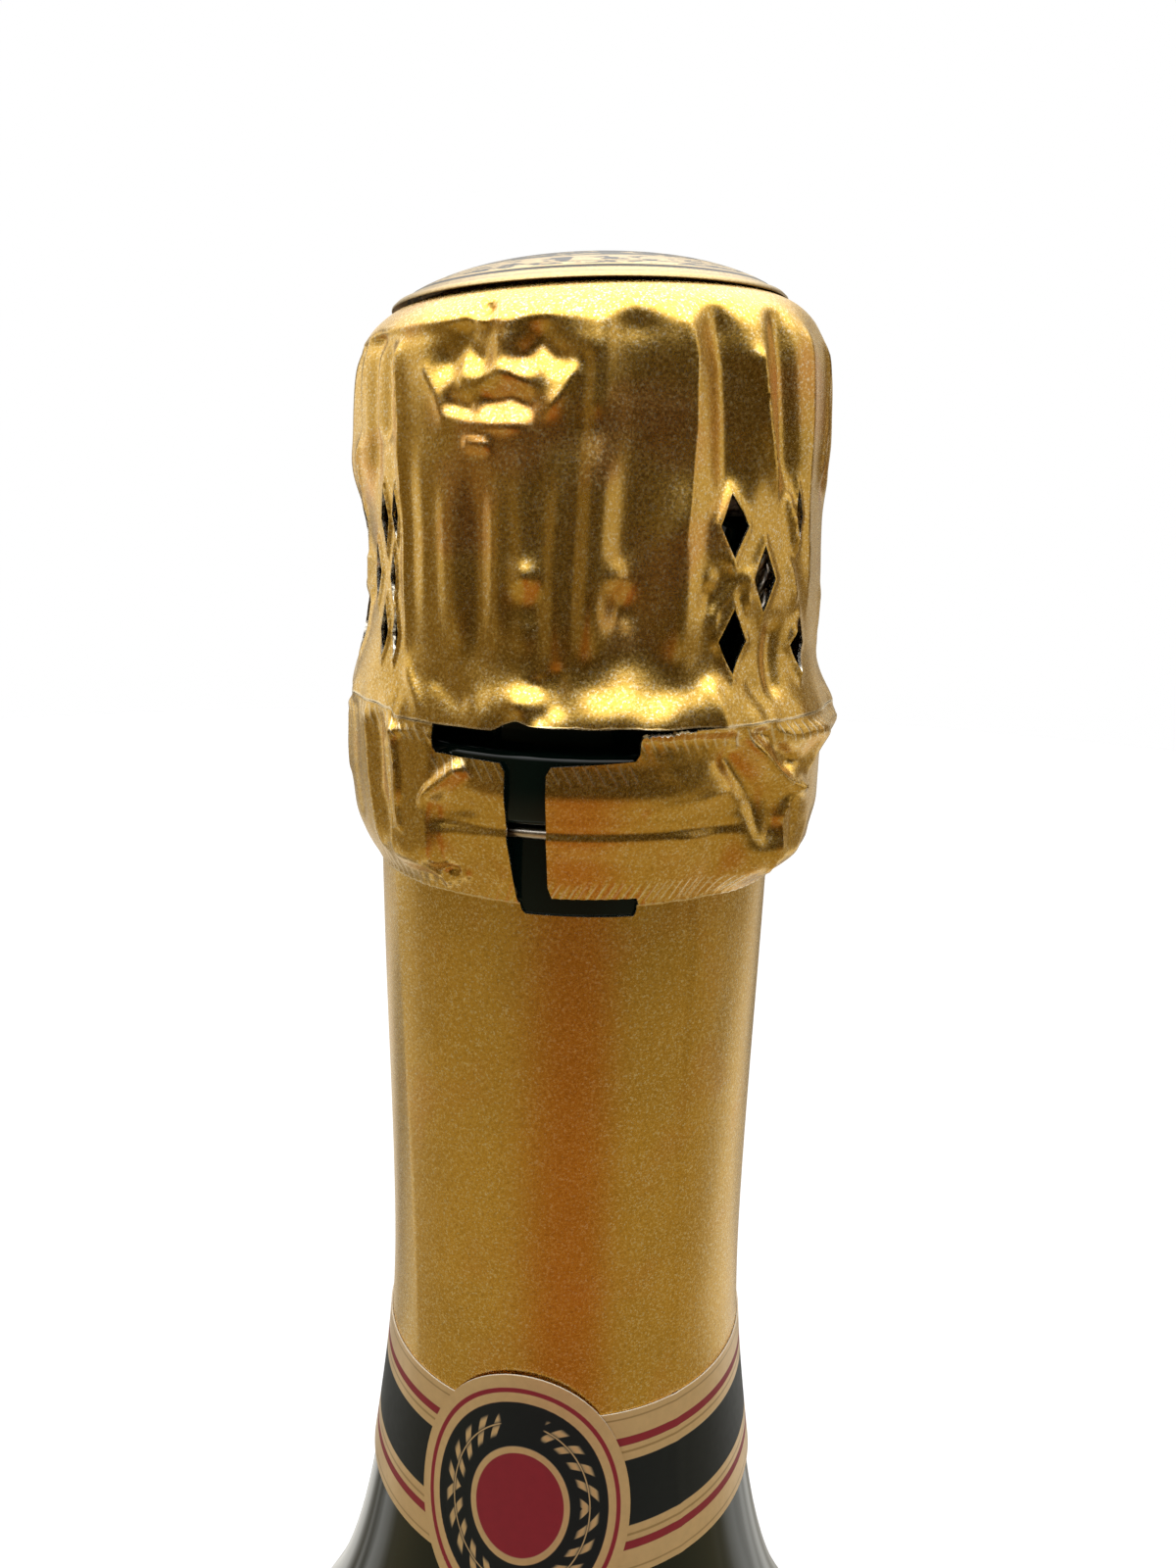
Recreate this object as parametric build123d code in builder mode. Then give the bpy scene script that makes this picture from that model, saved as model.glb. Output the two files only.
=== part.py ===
from build123d import *
import os
from math import cos, radians, sin, sqrt

os.makedirs("parts", exist_ok=True)

# A full bottle of sparkling wine, in millimetres. It stands on z = 0 on its own axis.
# The front, with the gap in the tear strip and the middle of the neck label, faces -Y.
# Angles round the bottle are in degrees, from the front (-Y) towards +X.

# Glass bottle
bottle_height = 300.0
body_radius = 44.0
body_top = 118.0
body_wall = 5.5
heel_radius = 9.0
inner_heel_radius = 6.0
standing_inset = 14.0
punt_height = 33.0
punt_wall = 6.5
lip_radius = 14.3
lip_height = 5.5
lip_round = 1.2
throat_depth = 1.2
ring_step = 2.9
ring_drop = 20.7
ring_height = 5.0
ring_bevel = 0.7
neck_step = 2.05
neck_wall = 4.3
waist_taper = 0.4
waist_drop = 57.0
bore_radius = 8.8
bore_length = 29.0
bore_edge = 0.6

# Shoulder outline between the body and the waist of the neck: rise, and how much it narrows
shoulder_shares = [
    (0.296, 0.109),
    (0.528, 0.468),
    (0.624, 0.663),
    (0.730, 0.879),
    (0.832, 0.954),
    (0.904, 0.988),
]

# Middle of the punt's outline: share of the standing radius, and of the punt's height
punt_outside_shares = (0.62, 0.63)
punt_inside_shares = (0.72, 0.63)

# Wine
fill_drop = 81.0
wine_clearance = 0.05

# Cork
cork_depth = 25.0
cork_fit = 0.03
cork_disc_height = 5.5
cork_chamfer = 0.6
cork_head_height = 11.1
cork_flare_height = 2.6
cork_edge = 0.9

# Cap plate on the cork
plate_wall = 0.25
plate_gap = 0.05
plate_skirt_gap = 0.15
plate_skirt = 1.1
plate_curl = 0.8
plate_brim = 3.3
plate_dome_height = 4.9

# Wire cage
frame_wire = 0.95
leg_twist = 1.3
leg_count = 4
first_leg_angle = -29.0
cage_ring_inset = 2.1
leg_clearance = 0.55
leg_bend = 1.9
foot_gap = 0.05
foot_half_width = 1.0
foot_bend = 0.8
foot_top_rise = 3.5
foot_rise = 2.7
foot_eye_depth = 1.15
belt_wire = 1.15
belt_drop = 0.8
wire_seat = 0.02

# Twisted ends of the belt wire: angles from the second leg on, and the loop at their end
key_lag_angle = 11.0
key_stem_angle = 18.0
key_loop_angle = 24.0
key_loop_radius = 2.1
key_loop_drop = 1.8
key_bend = 2.3
key_turn_share = 0.33

# Foil
foil_wall = 0.2
foil_gap = 0.03
tear_gap = 0.12
strip_head_rise = 2.0
strip_foot_drop = 5.2
strip_clearance = 0.25
strip_lean = 0.45
strip_foot_step = 0.42
hood_clearance = 0.3
hood_belly = 0.55
hood_shoulder_step = 1.05
disc_inset = 0.3
disc_edge_clearance = 1.48
dome_clearance = 0.9
flange_width = 2.8

# Hood outline: shares of its height from the tear line up, of its flare and of its widest part
hood_height_shares = [0.13, 0.31, 0.65, 0.79, 0.89, 0.957]
hood_flare_share = 0.18
hood_wide_shares = [1.0, 0.985, 0.95]

# Strip outline: share of its flare, and of its height
strip_shares = [(0.45, 0.11), (0.77, 0.27), (0.9, 0.45), (0.98, 0.66), (1.0, 0.88)]

# Gap between the two ends of the tear strip, and the pull tab beside it
top_slot_half_width = 7.1
top_slot_height = 2.4
slot_width = 2.75
low_slot_length = 8.2
low_slot_height = 1.4
low_slot_drop = 0.7
slot_corner = 0.4
tab_hinge_angle = 22.0
hinge_slit = 0.09

# Vent holes of the hood
vent_group_angles = [-53.0, 53.0, 180.0]
vent_pitch_angle = 10.5
vent_pitch_height = 3.95
vent_rise = 8.9
vent_width = 2.4
vent_height = 4.2

# Paper labels
paper_wall = 0.12
paper_gap = 0.03
medallion_lift = 0.09
collar_drop = 82.5
collar_height = 14.0
collar_foil_lap = 7.5
medallion_width = 18.2
medallion_height = 22.0
medallion_rise = 6.5
label_clearance = 0.02
front_label_bottom = 28.0
front_label_margin = 12.0
front_label_angle = 112.0
back_label_bottom = 40.0
back_label_height = 52.0
back_label_angle = 84.0

# Every cutter passes this far beyond what it cuts
overrun = 1.0

# Glass: the neck and the ring follow the lip
standing_radius = body_radius - standing_inset
throat_radius = lip_radius - throat_depth
lip_bottom = bottle_height - lip_height
ring_radius = lip_radius + ring_step
ring_bottom = bottle_height - ring_drop
ring_top = ring_bottom + ring_height
neck_top_radius = ring_radius - neck_step
waist_radius = neck_top_radius - waist_taper
waist_height = bottle_height - waist_drop
shoulder_rise = waist_height - body_top
shoulder_fall = body_radius - waist_radius

# Cork and plate: the cork's head is as wide as the lip under it
cork_head_radius = lip_radius
head_top = bottle_height + cork_head_height
plate_radius = cork_head_radius + plate_skirt_gap + plate_wall
plate_dome_radius = plate_radius - plate_brim
plate_bottom = head_top + plate_gap
plate_top = plate_bottom + plate_wall
plate_dome_top = plate_bottom + plate_dome_height

# Cage: the legs pass the plate, and their feet pass the ring and hold the belt under it
cage_ring_radius = plate_radius - cage_ring_inset
leg_radius = plate_radius + leg_clearance + leg_twist / 2
leg_top = plate_top + wire_seat + leg_twist
belt_radius = neck_top_radius + foot_gap + belt_wire / 2
belt_height = ring_bottom - belt_drop
key_radius = ring_radius + foot_gap + belt_wire / 2

# Foil: each piece passes the wire under it
upper_tear = ring_top + strip_head_rise
lower_tear = belt_height - strip_foot_drop
hood_bottom = upper_tear + tear_gap / 2
strip_top = upper_tear - tear_gap / 2
strip_bottom = lower_tear + tear_gap / 2
neck_foil_top = lower_tear - tear_gap / 2
strip_wide_radius = key_radius + belt_wire / 2 + strip_clearance + foil_wall
strip_top_radius = strip_wide_radius - strip_lean
strip_low_radius = neck_top_radius + foil_gap + foil_wall + strip_foot_step
hood_waist_radius = leg_radius + leg_twist / 2 + hood_clearance + foil_wall
hood_wide_radius = hood_waist_radius + hood_belly
disc_radius = plate_radius - disc_inset
disc_edge = leg_top + disc_edge_clearance
disc_top = plate_dome_top + plate_wall + dome_clearance
disc_rise = disc_top - disc_edge
hood_shoulder_radius = disc_radius + hood_shoulder_step
flange_radius = disc_radius - flange_width

# Labels
collar_bottom = bottle_height - collar_drop
collar_top = collar_bottom + collar_height
neck_foil_bottom = collar_bottom + collar_foil_lap
medallion_middle = collar_bottom + medallion_rise
front_label_height = body_top - front_label_margin - front_label_bottom


def around(angle):
    """Outward direction at an angle round the bottle."""
    return Vector(sin(radians(angle)), -cos(radians(angle)), 0)


def along(angle):
    """Direction round the bottle at an angle, the way that angles grow."""
    return Vector(cos(radians(angle)), sin(radians(angle)), 0)


def upright(angle):
    """Plane through the axis: x is the radius at that angle and y is the height."""
    return Plane(origin=(0, 0, 0), x_dir=around(angle), z_dir=-along(angle))


def facing(angle, radius, height):
    """Plane that faces outward, with its origin at a radius and height."""
    origin = around(angle) * radius + Vector(0, 0, height)
    return Plane(origin=origin, x_dir=along(angle), z_dir=around(angle))


def outer_points(gap):
    """Outside of the glass from the body to the ring, moved out by a gap."""
    points = [(body_radius + gap, body_top)]
    for rise, narrowing in shoulder_shares:
        radius = body_radius - shoulder_fall * narrowing + gap
        points.append((radius, body_top + shoulder_rise * rise))
    points.append((waist_radius + gap, waist_height))
    points.append((neck_top_radius + gap, ring_bottom))
    return points


def inner_points(gap):
    """Inside of the glass from the body to the waist, moved in by a gap."""
    points = [(body_radius - body_wall - gap, body_top)]
    for rise, narrowing in shoulder_shares:
        wall = body_wall + (neck_wall - body_wall) * rise
        radius = body_radius - shoulder_fall * narrowing - wall - gap
        points.append((radius, body_top + shoulder_rise * rise))
    points.append((waist_radius - neck_wall - gap, waist_height))
    return points


def shell_points(points, wall):
    """The outline moved to its left by a wall, point by point."""
    moved = []
    for i, (x, y) in enumerate(points):
        before = points[max(i - 1, 0)]
        after = points[min(i + 1, len(points) - 1)]
        run = after[0] - before[0]
        rise = after[1] - before[1]
        length = sqrt(run**2 + rise**2)
        moved.append((x - wall * rise / length, y + wall * run / length))
    return moved


def wrap_face(gap, wall, low, high):
    """Section of a thin layer that follows the glass between two heights."""
    inside = outer_points(gap)
    outside = outer_points(gap + wall)
    with BuildSketch(Plane.XZ) as section:
        with BuildLine():
            Spline(*inside, tangents=[(0, 1), (0, 1)])
            Line(inside[-1], outside[-1])
            Spline(*outside, tangents=[(0, 1), (0, 1)])
            Line(inside[0], outside[0])
        make_face()
        with BuildSketch(Plane.XZ, mode=Mode.INTERSECT):
            with Locations((0, low)):
                width = body_radius + overrun
                Rectangle(width, high - low, align=(Align.MIN, Align.MIN))
    return section


# Glass bottle, one blown wall from the punt in its base to the lip
inner_radius = body_radius - body_wall
punt_inside = punt_height + punt_wall
punt_outside_middle = (standing_radius * punt_outside_shares[0], punt_height * punt_outside_shares[1])
punt_inside_middle = (standing_radius * punt_inside_shares[0], punt_inside * punt_inside_shares[1])
with BuildPart() as glass_bottle:
    with BuildSketch(Plane.XZ):
        with BuildLine():
            Line((standing_radius, 0), (body_radius - heel_radius, 0))
            TangentArc((body_radius - heel_radius, 0), (body_radius, heel_radius), tangent=(1, 0))
            Line((body_radius, heel_radius), (body_radius, body_top))
            Spline(*outer_points(0), tangents=[(0, 1), (0, 1)])
            Polyline(
                (neck_top_radius, ring_bottom),
                (ring_radius - ring_bevel, ring_bottom),
                (ring_radius, ring_bottom + ring_bevel),
                (ring_radius, ring_top - ring_bevel),
                (ring_radius - ring_bevel, ring_top),
                (throat_radius, ring_top),
                (throat_radius, lip_bottom),
                (lip_radius, lip_bottom),
                (lip_radius, bottle_height - lip_round),
            )
            TangentArc(
                (lip_radius, bottle_height - lip_round),
                (lip_radius - lip_round, bottle_height),
                tangent=(0, 1),
            )
            Polyline(
                (lip_radius - lip_round, bottle_height),
                (bore_radius + bore_edge, bottle_height),
                (bore_radius, bottle_height - bore_edge),
                (bore_radius, bottle_height - bore_length),
                (waist_radius - neck_wall, waist_height),
            )
            Spline(*inner_points(0), tangents=[(0, 1), (0, 1)])
            Line((inner_radius, body_top), (inner_radius, body_wall + inner_heel_radius))
            TangentArc(
                (inner_radius, body_wall + inner_heel_radius),
                (inner_radius - inner_heel_radius, body_wall),
                tangent=(0, -1),
            )
            Line((inner_radius - inner_heel_radius, body_wall), (standing_radius, body_wall))
            Spline(
                (standing_radius, body_wall),
                punt_inside_middle,
                (0, punt_inside),
                tangents=[(-0.4, 1), (-1, 0)],
            )
            Line((0, punt_inside), (0, punt_height))
            Spline(
                (0, punt_height),
                punt_outside_middle,
                (standing_radius, 0),
                tangents=[(1, 0), (0.4, -1)],
            )
        make_face()
    revolve(axis=Axis.Z)
glass_bottle.part.label = "glass_bottle"
export_step(glass_bottle.part, "parts/glass_bottle.step")

# Wine, filled to below the waist of the neck, with gas above it
wine_radius = inner_radius - wine_clearance
wine_floor = body_wall + wine_clearance
punt_top = punt_inside + wine_clearance
with BuildPart() as wine:
    with BuildSketch(Plane.XZ):
        with BuildLine():
            Spline(*inner_points(wine_clearance), tangents=[(0, 1), (0, 1)])
            Line((waist_radius - neck_wall - wine_clearance, waist_height), (0, waist_height))
            Line((wine_radius, body_top), (wine_radius, wine_floor + inner_heel_radius))
            TangentArc(
                (wine_radius, wine_floor + inner_heel_radius),
                (wine_radius - inner_heel_radius, wine_floor),
                tangent=(0, -1),
            )
            Line(
                (wine_radius - inner_heel_radius, wine_floor),
                (standing_radius + wine_clearance, wine_floor),
            )
            Spline(
                (standing_radius + wine_clearance, wine_floor),
                (punt_inside_middle[0] + wine_clearance, punt_inside_middle[1] + wine_clearance),
                (0, punt_top),
                tangents=[(-0.4, 1), (-1, 0)],
            )
            Line((0, punt_top), (0, waist_height))
        make_face()
    revolve(axis=Axis.Z)
    split(bisect_by=Plane.XY.offset(bottle_height - fill_drop), keep=Keep.BOTTOM)
wine.part.label = "wine"
export_step(wine.part, "parts/wine.step")

# Cork: a pressed body with a mushroom head, and two discs glued to its lower end
shaft_radius = bore_radius - cork_fit
cork_bottom = bottle_height - cork_depth
discs_top = cork_bottom + 2 * cork_disc_height
head_dome_radius = plate_dome_radius - plate_wall - plate_gap
head_dome_top = head_top + plate_dome_height - plate_gap
with BuildPart() as cork_body:
    with BuildSketch(Plane.XZ):
        with BuildLine():
            Polyline(
                (0, discs_top),
                (shaft_radius, discs_top),
                (shaft_radius, bottle_height + cork_fit),
                (lip_radius - lip_round, bottle_height + cork_fit),
            )
            Spline(
                (lip_radius - lip_round, bottle_height + cork_fit),
                (cork_head_radius, bottle_height + cork_flare_height),
                tangents=[(1, 0.4), (0, 1)],
            )
            Polyline(
                (cork_head_radius, bottle_height + cork_flare_height),
                (cork_head_radius, head_top - cork_edge),
                (cork_head_radius - cork_edge, head_top),
                (head_dome_radius, head_top),
            )
            Spline(
                (head_dome_radius, head_top),
                (0, head_dome_top),
                tangents=[(-1, 1), (-1, 0)],
            )
            Line((0, head_dome_top), (0, discs_top))
        make_face()
    revolve(axis=Axis.Z)
cork_body.part.label = "cork_body"
export_step(cork_body.part, "parts/cork_body.step")

with BuildPart() as cork_disc_upper:
    with BuildSketch(Plane.XY.offset(cork_bottom + cork_disc_height)):
        Circle(shaft_radius)
    extrude(amount=cork_disc_height)
cork_disc_upper.part.label = "cork_disc_upper"
export_step(cork_disc_upper.part, "parts/cork_disc_upper.step")

with BuildPart() as cork_disc_lower:
    with BuildSketch(Plane.XY.offset(cork_bottom)):
        Circle(shaft_radius)
    extrude(amount=cork_disc_height)
    chamfer(cork_disc_lower.edges().group_by(Axis.Z)[0], length=cork_chamfer)
cork_disc_lower.part.label = "cork_disc_lower"
export_step(cork_disc_lower.part, "parts/cork_disc_lower.step")

# Cap plate, a pressed metal disc between the cork and the wire
with BuildPart() as cap_plate:
    with BuildSketch(Plane.XZ):
        with BuildLine():
            Line((0, plate_dome_top), (0, plate_dome_top + plate_wall))
            Spline(
                (0, plate_dome_top + plate_wall),
                (plate_dome_radius, plate_top),
                tangents=[(1, 0), (1, -1)],
            )
            Line((plate_dome_radius, plate_top), (plate_radius - plate_curl, plate_top))
            TangentArc(
                (plate_radius - plate_curl, plate_top),
                (plate_radius, plate_top - plate_curl),
                tangent=(1, 0),
            )
            Polyline(
                (plate_radius, plate_top - plate_curl),
                (plate_radius, plate_top - plate_skirt),
                (plate_radius - plate_wall, plate_top - plate_skirt),
                (plate_radius - plate_wall, plate_top - plate_curl),
            )
            TangentArc(
                (plate_radius - plate_wall, plate_top - plate_curl),
                (plate_radius - plate_curl, plate_bottom),
                tangent=(0, 1),
            )
            Line((plate_radius - plate_curl, plate_bottom), (plate_dome_radius - plate_wall, plate_bottom))
            Spline(
                (plate_dome_radius - plate_wall, plate_bottom),
                (0, plate_dome_top),
                tangents=[(-1, 1), (-1, 0)],
            )
        make_face()
    revolve(axis=Axis.Z)
cap_plate.part.label = "cap_plate"
export_step(cap_plate.part, "parts/cap_plate.step")

# Wire cage: a ring on the plate, four twisted legs and a foot eye under each for the belt
ring_height_on_plate = plate_top + wire_seat + frame_wire / 2
leg_height = leg_top - leg_twist / 2
foot_radius = ring_radius + foot_gap + frame_wire / 2
foot_top = ring_top + foot_top_rise
foot_bottom = belt_height - foot_eye_depth
eye_radius = belt_radius + belt_wire / 2 + foot_gap


def leg_point(angle, side, radius, height):
    """A point of the cage at an angle, moved sideways, at a radius and height."""
    return around(angle) * radius + along(angle) * side + Vector(0, 0, height)


with BuildPart() as cage_frame:
    with Locations((0, 0, ring_height_on_plate)):
        Torus(cage_ring_radius, frame_wire / 2)
    for leg in range(leg_count):
        leg_angle = first_leg_angle + leg * 360 / leg_count
        with BuildLine() as leg_path:
            FilletPolyline(
                leg_point(leg_angle, 0, cage_ring_radius, leg_height),
                leg_point(leg_angle, 0, leg_radius, leg_height),
                leg_point(leg_angle, 0, leg_radius, foot_top),
                radius=leg_bend,
            )
        with BuildSketch(Plane(leg_path.line @ 0, z_dir=leg_path.line % 0)):
            Circle(leg_twist / 2)
        sweep(path=leg_path.line)
        left = -foot_half_width
        right = foot_half_width
        with BuildLine() as eye_path:
            FilletPolyline(
                leg_point(leg_angle, left, leg_radius, foot_top + leg_twist),
                leg_point(leg_angle, left, leg_radius, foot_top),
                leg_point(leg_angle, left, foot_radius, foot_top - foot_rise),
                leg_point(leg_angle, left, foot_radius, ring_bottom),
                leg_point(leg_angle, left, eye_radius, foot_bottom),
                leg_point(leg_angle, right, eye_radius, foot_bottom),
                leg_point(leg_angle, right, foot_radius, ring_bottom),
                leg_point(leg_angle, right, foot_radius, foot_top - foot_rise),
                leg_point(leg_angle, right, leg_radius, foot_top),
                leg_point(leg_angle, right, leg_radius, foot_top + leg_twist),
                radius=foot_bend,
            )
        with BuildSketch(Plane(eye_path.line @ 0, z_dir=eye_path.line % 0)):
            Circle(frame_wire / 2)
        sweep(path=eye_path.line)
cage_frame.part.label = "cage_frame"
export_step(cage_frame.part, "parts/cage_frame.step")

# Belt wire under the glass ring, with its twisted ends and the loop that opens it
key_middle = ring_top - key_loop_drop
key_low = key_middle - key_loop_radius
key_start = first_leg_angle + 360 / leg_count + key_lag_angle
key_near = key_start + key_stem_angle
key_far = key_near + key_loop_angle
with BuildLine(Plane.XY.offset(key_low)) as key_low_arc:
    CenterArc((0, 0), key_radius, key_near - 90, key_loop_angle)
with BuildLine(Plane.XY.offset(key_middle + key_loop_radius)) as key_high_arc:
    CenterArc((0, 0), key_radius, key_near - 90, key_loop_angle)
with BuildLine(facing(key_far, key_radius, key_middle)) as key_far_end:
    CenterArc((0, 0), key_loop_radius, -90, 180)
with BuildLine(facing(key_near, key_radius, key_middle)) as key_near_end:
    CenterArc((0, 0), key_loop_radius, 90, 180)
with BuildLine() as key_loop:
    add(key_low_arc.line)
    add(key_far_end.line)
    add(key_high_arc.line)
    add(key_near_end.line)
key_turn = key_start + key_stem_angle * key_turn_share
with BuildLine() as key_stem:
    FilletPolyline(
        leg_point(key_start, 0, belt_radius, belt_height),
        leg_point(key_turn, 0, key_radius + foot_gap, belt_height),
        leg_point(key_near, -key_loop_radius, key_radius, key_middle),
        radius=key_bend,
    )
with BuildPart() as cage_belt:
    with Locations((0, 0, belt_height)):
        Torus(belt_radius, belt_wire / 2)
    with BuildSketch(Plane(key_stem.line @ 0, z_dir=key_stem.line % 0)):
        Circle(belt_wire / 2)
    sweep(path=key_stem.line)
    with BuildSketch(Plane(key_low_arc.line @ 0, z_dir=key_low_arc.line % 0)):
        Circle(belt_wire / 2)
    sweep(path=key_loop.wires()[0])
cage_belt.part.label = "cage_belt"
export_step(cage_belt.part, "parts/cage_belt.step")

# Foil hood over the cage, open below and turned in at its top
disc_ball = (disc_radius**2 + disc_rise**2) / (2 * disc_rise)


def disc_height(radius):
    """Height of the outside of the domed top disc."""
    return disc_top - disc_ball + sqrt(disc_ball**2 - radius**2)


hood_height = disc_height(disc_radius) - hood_bottom
hood_radii = [
    hood_waist_radius + (strip_top_radius - hood_waist_radius) * hood_flare_share,
    hood_waist_radius,
]
hood_radii += [hood_wide_radius * share for share in hood_wide_shares]
hood_radii.append(hood_shoulder_radius)
hood_points = [(strip_top_radius, hood_bottom)]
for radius, share in zip(hood_radii, hood_height_shares):
    hood_points.append((radius, hood_bottom + hood_height * share))
hood_points.append((disc_radius, disc_height(disc_radius) - foil_wall))
hood_inside = shell_points(hood_points, foil_wall)
flange_middle = (disc_radius + flange_radius) / 2
with BuildPart() as foil_hood:
    with BuildSketch(Plane.XZ):
        with BuildLine():
            Spline(*hood_points)
            ThreePointArc(
                hood_points[-1],
                (flange_middle, disc_height(flange_middle) - foil_wall),
                (flange_radius, disc_height(flange_radius) - foil_wall),
            )
            Line(
                (flange_radius, disc_height(flange_radius) - foil_wall),
                (flange_radius, disc_height(flange_radius) - 2 * foil_wall),
            )
            ThreePointArc(
                (flange_radius, disc_height(flange_radius) - 2 * foil_wall),
                (flange_middle, disc_height(flange_middle) - 2 * foil_wall),
                hood_inside[-1],
            )
            Spline(*hood_inside)
            Line(hood_inside[0], hood_points[0])
        make_face()
    revolve(axis=Axis.Z)
    for group_angle in vent_group_angles:
        for column in (-1, 0, 1):
            with BuildSketch(facing(group_angle + column * vent_pitch_angle, 0, upper_tear + vent_rise)):
                rows = (-1, 1) if column else (0,)
                with Locations([(0, row * vent_pitch_height) for row in rows]):
                    Polygon(
                        (-vent_width / 2, 0),
                        (0, -vent_height / 2),
                        (vent_width / 2, 0),
                        (0, vent_height / 2),
                        align=None,
                    )
            extrude(amount=hood_wide_radius + overrun, mode=Mode.SUBTRACT)
foil_hood.part.label = "foil_hood"
export_step(foil_hood.part, "parts/foil_hood.step")

# Domed foil disc on the hood's turned-in edge
disc_wall = foil_wall - foil_gap
with BuildPart() as foil_top_disc:
    with BuildSketch(Plane.XZ):
        with BuildLine():
            Line((0, disc_top - disc_wall), (0, disc_top))
            ThreePointArc(
                (0, disc_top),
                (disc_radius / 2, disc_height(disc_radius / 2)),
                (disc_radius, disc_height(disc_radius)),
            )
            Line(
                (disc_radius, disc_height(disc_radius)),
                (disc_radius, disc_height(disc_radius) - disc_wall),
            )
            ThreePointArc(
                (disc_radius, disc_height(disc_radius) - disc_wall),
                (disc_radius / 2, disc_height(disc_radius / 2) - disc_wall),
                (0, disc_top - disc_wall),
            )
        make_face()
    revolve(axis=Axis.Z)
foil_top_disc.part.label = "foil_top_disc"
export_step(foil_top_disc.part, "parts/foil_top_disc.step")

# Tear strip between its two lines of perforations, and the pull tab cut out of its end
strip_height = strip_top - strip_bottom
strip_flare = strip_wide_radius - strip_low_radius
strip_points = [(strip_low_radius, strip_bottom)]
for flare_share, height_share in strip_shares:
    radius = strip_low_radius + strip_flare * flare_share
    strip_points.append((radius, strip_bottom + strip_height * height_share))
strip_points.append((strip_top_radius, strip_top))
strip_inside = shell_points(strip_points, foil_wall)
tab_low = strip_bottom + low_slot_height - low_slot_drop
tab_high = strip_top - top_slot_height
low_slot_bottom = strip_bottom - low_slot_drop

with BuildSketch(Plane.XZ) as strip_section:
    with BuildLine():
        Spline(*strip_points)
        Line(strip_points[-1], strip_inside[-1])
        Spline(*strip_inside)
        Line(strip_inside[0], strip_points[0])
    make_face()

with BuildSketch(Plane.XZ) as strip_gap:
    with Locations((0, tab_high)):
        slot_tall = top_slot_height + overrun
        Rectangle(2 * top_slot_half_width, slot_tall, align=(Align.CENTER, Align.MIN))
    with Locations((0, low_slot_bottom)):
        Rectangle(slot_width, tab_high - low_slot_bottom, align=(Align.CENTER, Align.MIN))
    with Locations((-slot_width / 2, low_slot_bottom)):
        Rectangle(low_slot_length, low_slot_height, align=(Align.MIN, Align.MIN))
    fillet(strip_gap.vertices().sort_by(Axis.X)[-2:], slot_corner)

# Wedge of the strip that the tab takes, from the gap to the tab's fold
wedge_reach = 2 * strip_wide_radius
with BuildSketch(Plane.XY.offset(tab_low)) as tab_wedge:
    Polygon(
        (0, 0),
        (0, -wedge_reach),
        (wedge_reach * sin(radians(tab_hinge_angle)), -wedge_reach * cos(radians(tab_hinge_angle))),
        align=None,
    )

with BuildPart() as tear_strip:
    add(strip_section.sketch)
    revolve(axis=Axis.Z)
    add(strip_gap.sketch)
    extrude(amount=strip_wide_radius + overrun, mode=Mode.SUBTRACT)
    add(tab_wedge.sketch)
    extrude(amount=tab_high - tab_low, mode=Mode.SUBTRACT)
tear_strip.part.label = "tear_strip"
export_step(tear_strip.part, "parts/tear_strip.step")

slit_side = along(tab_hinge_angle) * -hinge_slit
with BuildPart() as tear_tab:
    add(strip_section.sketch)
    revolve(axis=Axis.Z)
    add(tab_wedge.sketch)
    extrude(amount=tab_high - tab_low, mode=Mode.INTERSECT)
    split(bisect_by=Plane.YZ.offset(slot_width / 2), keep=Keep.TOP)
    slit_origin = slit_side + Vector(0, 0, tab_low)
    split(bisect_by=Plane(slit_origin, z_dir=along(tab_hinge_angle)), keep=Keep.BOTTOM)
tear_tab.part.label = "tear_tab"
export_step(tear_tab.part, "parts/tear_tab.step")

# Foil round the neck, below the tear strip and down under the neck label
neck_section = wrap_face(foil_gap, foil_wall, neck_foil_bottom, neck_foil_top)
with BuildPart() as neck_foil:
    add(neck_section.sketch)
    revolve(axis=Axis.Z)
    add(strip_gap.sketch)
    extrude(amount=strip_wide_radius + overrun, mode=Mode.SUBTRACT)
neck_foil.part.label = "neck_foil"
export_step(neck_foil.part, "parts/neck_foil.step")

# Paper label round the neck, and the oval on its front
collar_gap = foil_gap + foil_wall + paper_gap
collar_section = wrap_face(collar_gap, paper_wall, collar_bottom, collar_top)
with BuildPart() as collar_label:
    add(collar_section.sketch)
    revolve(axis=Axis.Z)
collar_label.part.label = "collar_label"
export_step(collar_label.part, "parts/collar_label.step")

medallion_gap = collar_gap + paper_wall + medallion_lift
medallion_low = medallion_middle - medallion_height
medallion_high = medallion_middle + medallion_height
medallion_section = wrap_face(medallion_gap, paper_wall, medallion_low, medallion_high)
with BuildPart() as collar_medallion:
    add(medallion_section.sketch)
    revolve(axis=Axis.Z)
    with BuildSketch(Plane.XZ):
        with Locations((0, medallion_middle)):
            Ellipse(medallion_width / 2, medallion_height / 2)
    extrude(amount=body_radius, mode=Mode.INTERSECT)
collar_medallion.part.label = "collar_medallion"
export_step(collar_medallion.part, "parts/collar_medallion.step")


def body_label(middle_angle, span, bottom, height):
    """A paper label round part of the body."""
    with BuildPart() as label:
        with BuildSketch(upright(middle_angle - span / 2)):
            with Locations((body_radius + label_clearance, bottom)):
                Rectangle(paper_wall, height, align=(Align.MIN, Align.MIN))
        revolve(axis=Axis.Z, revolution_arc=span)
    return label


front_label = body_label(0, front_label_angle, front_label_bottom, front_label_height)
front_label.part.label = "front_label"
export_step(front_label.part, "parts/front_label.step")

back_label = body_label(180, back_label_angle, back_label_bottom, back_label_height)
back_label.part.label = "back_label"
export_step(back_label.part, "parts/back_label.step")
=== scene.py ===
import math
import random

import bmesh
import bpy
import numpy as np
from mathutils import Matrix, Vector


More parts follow.
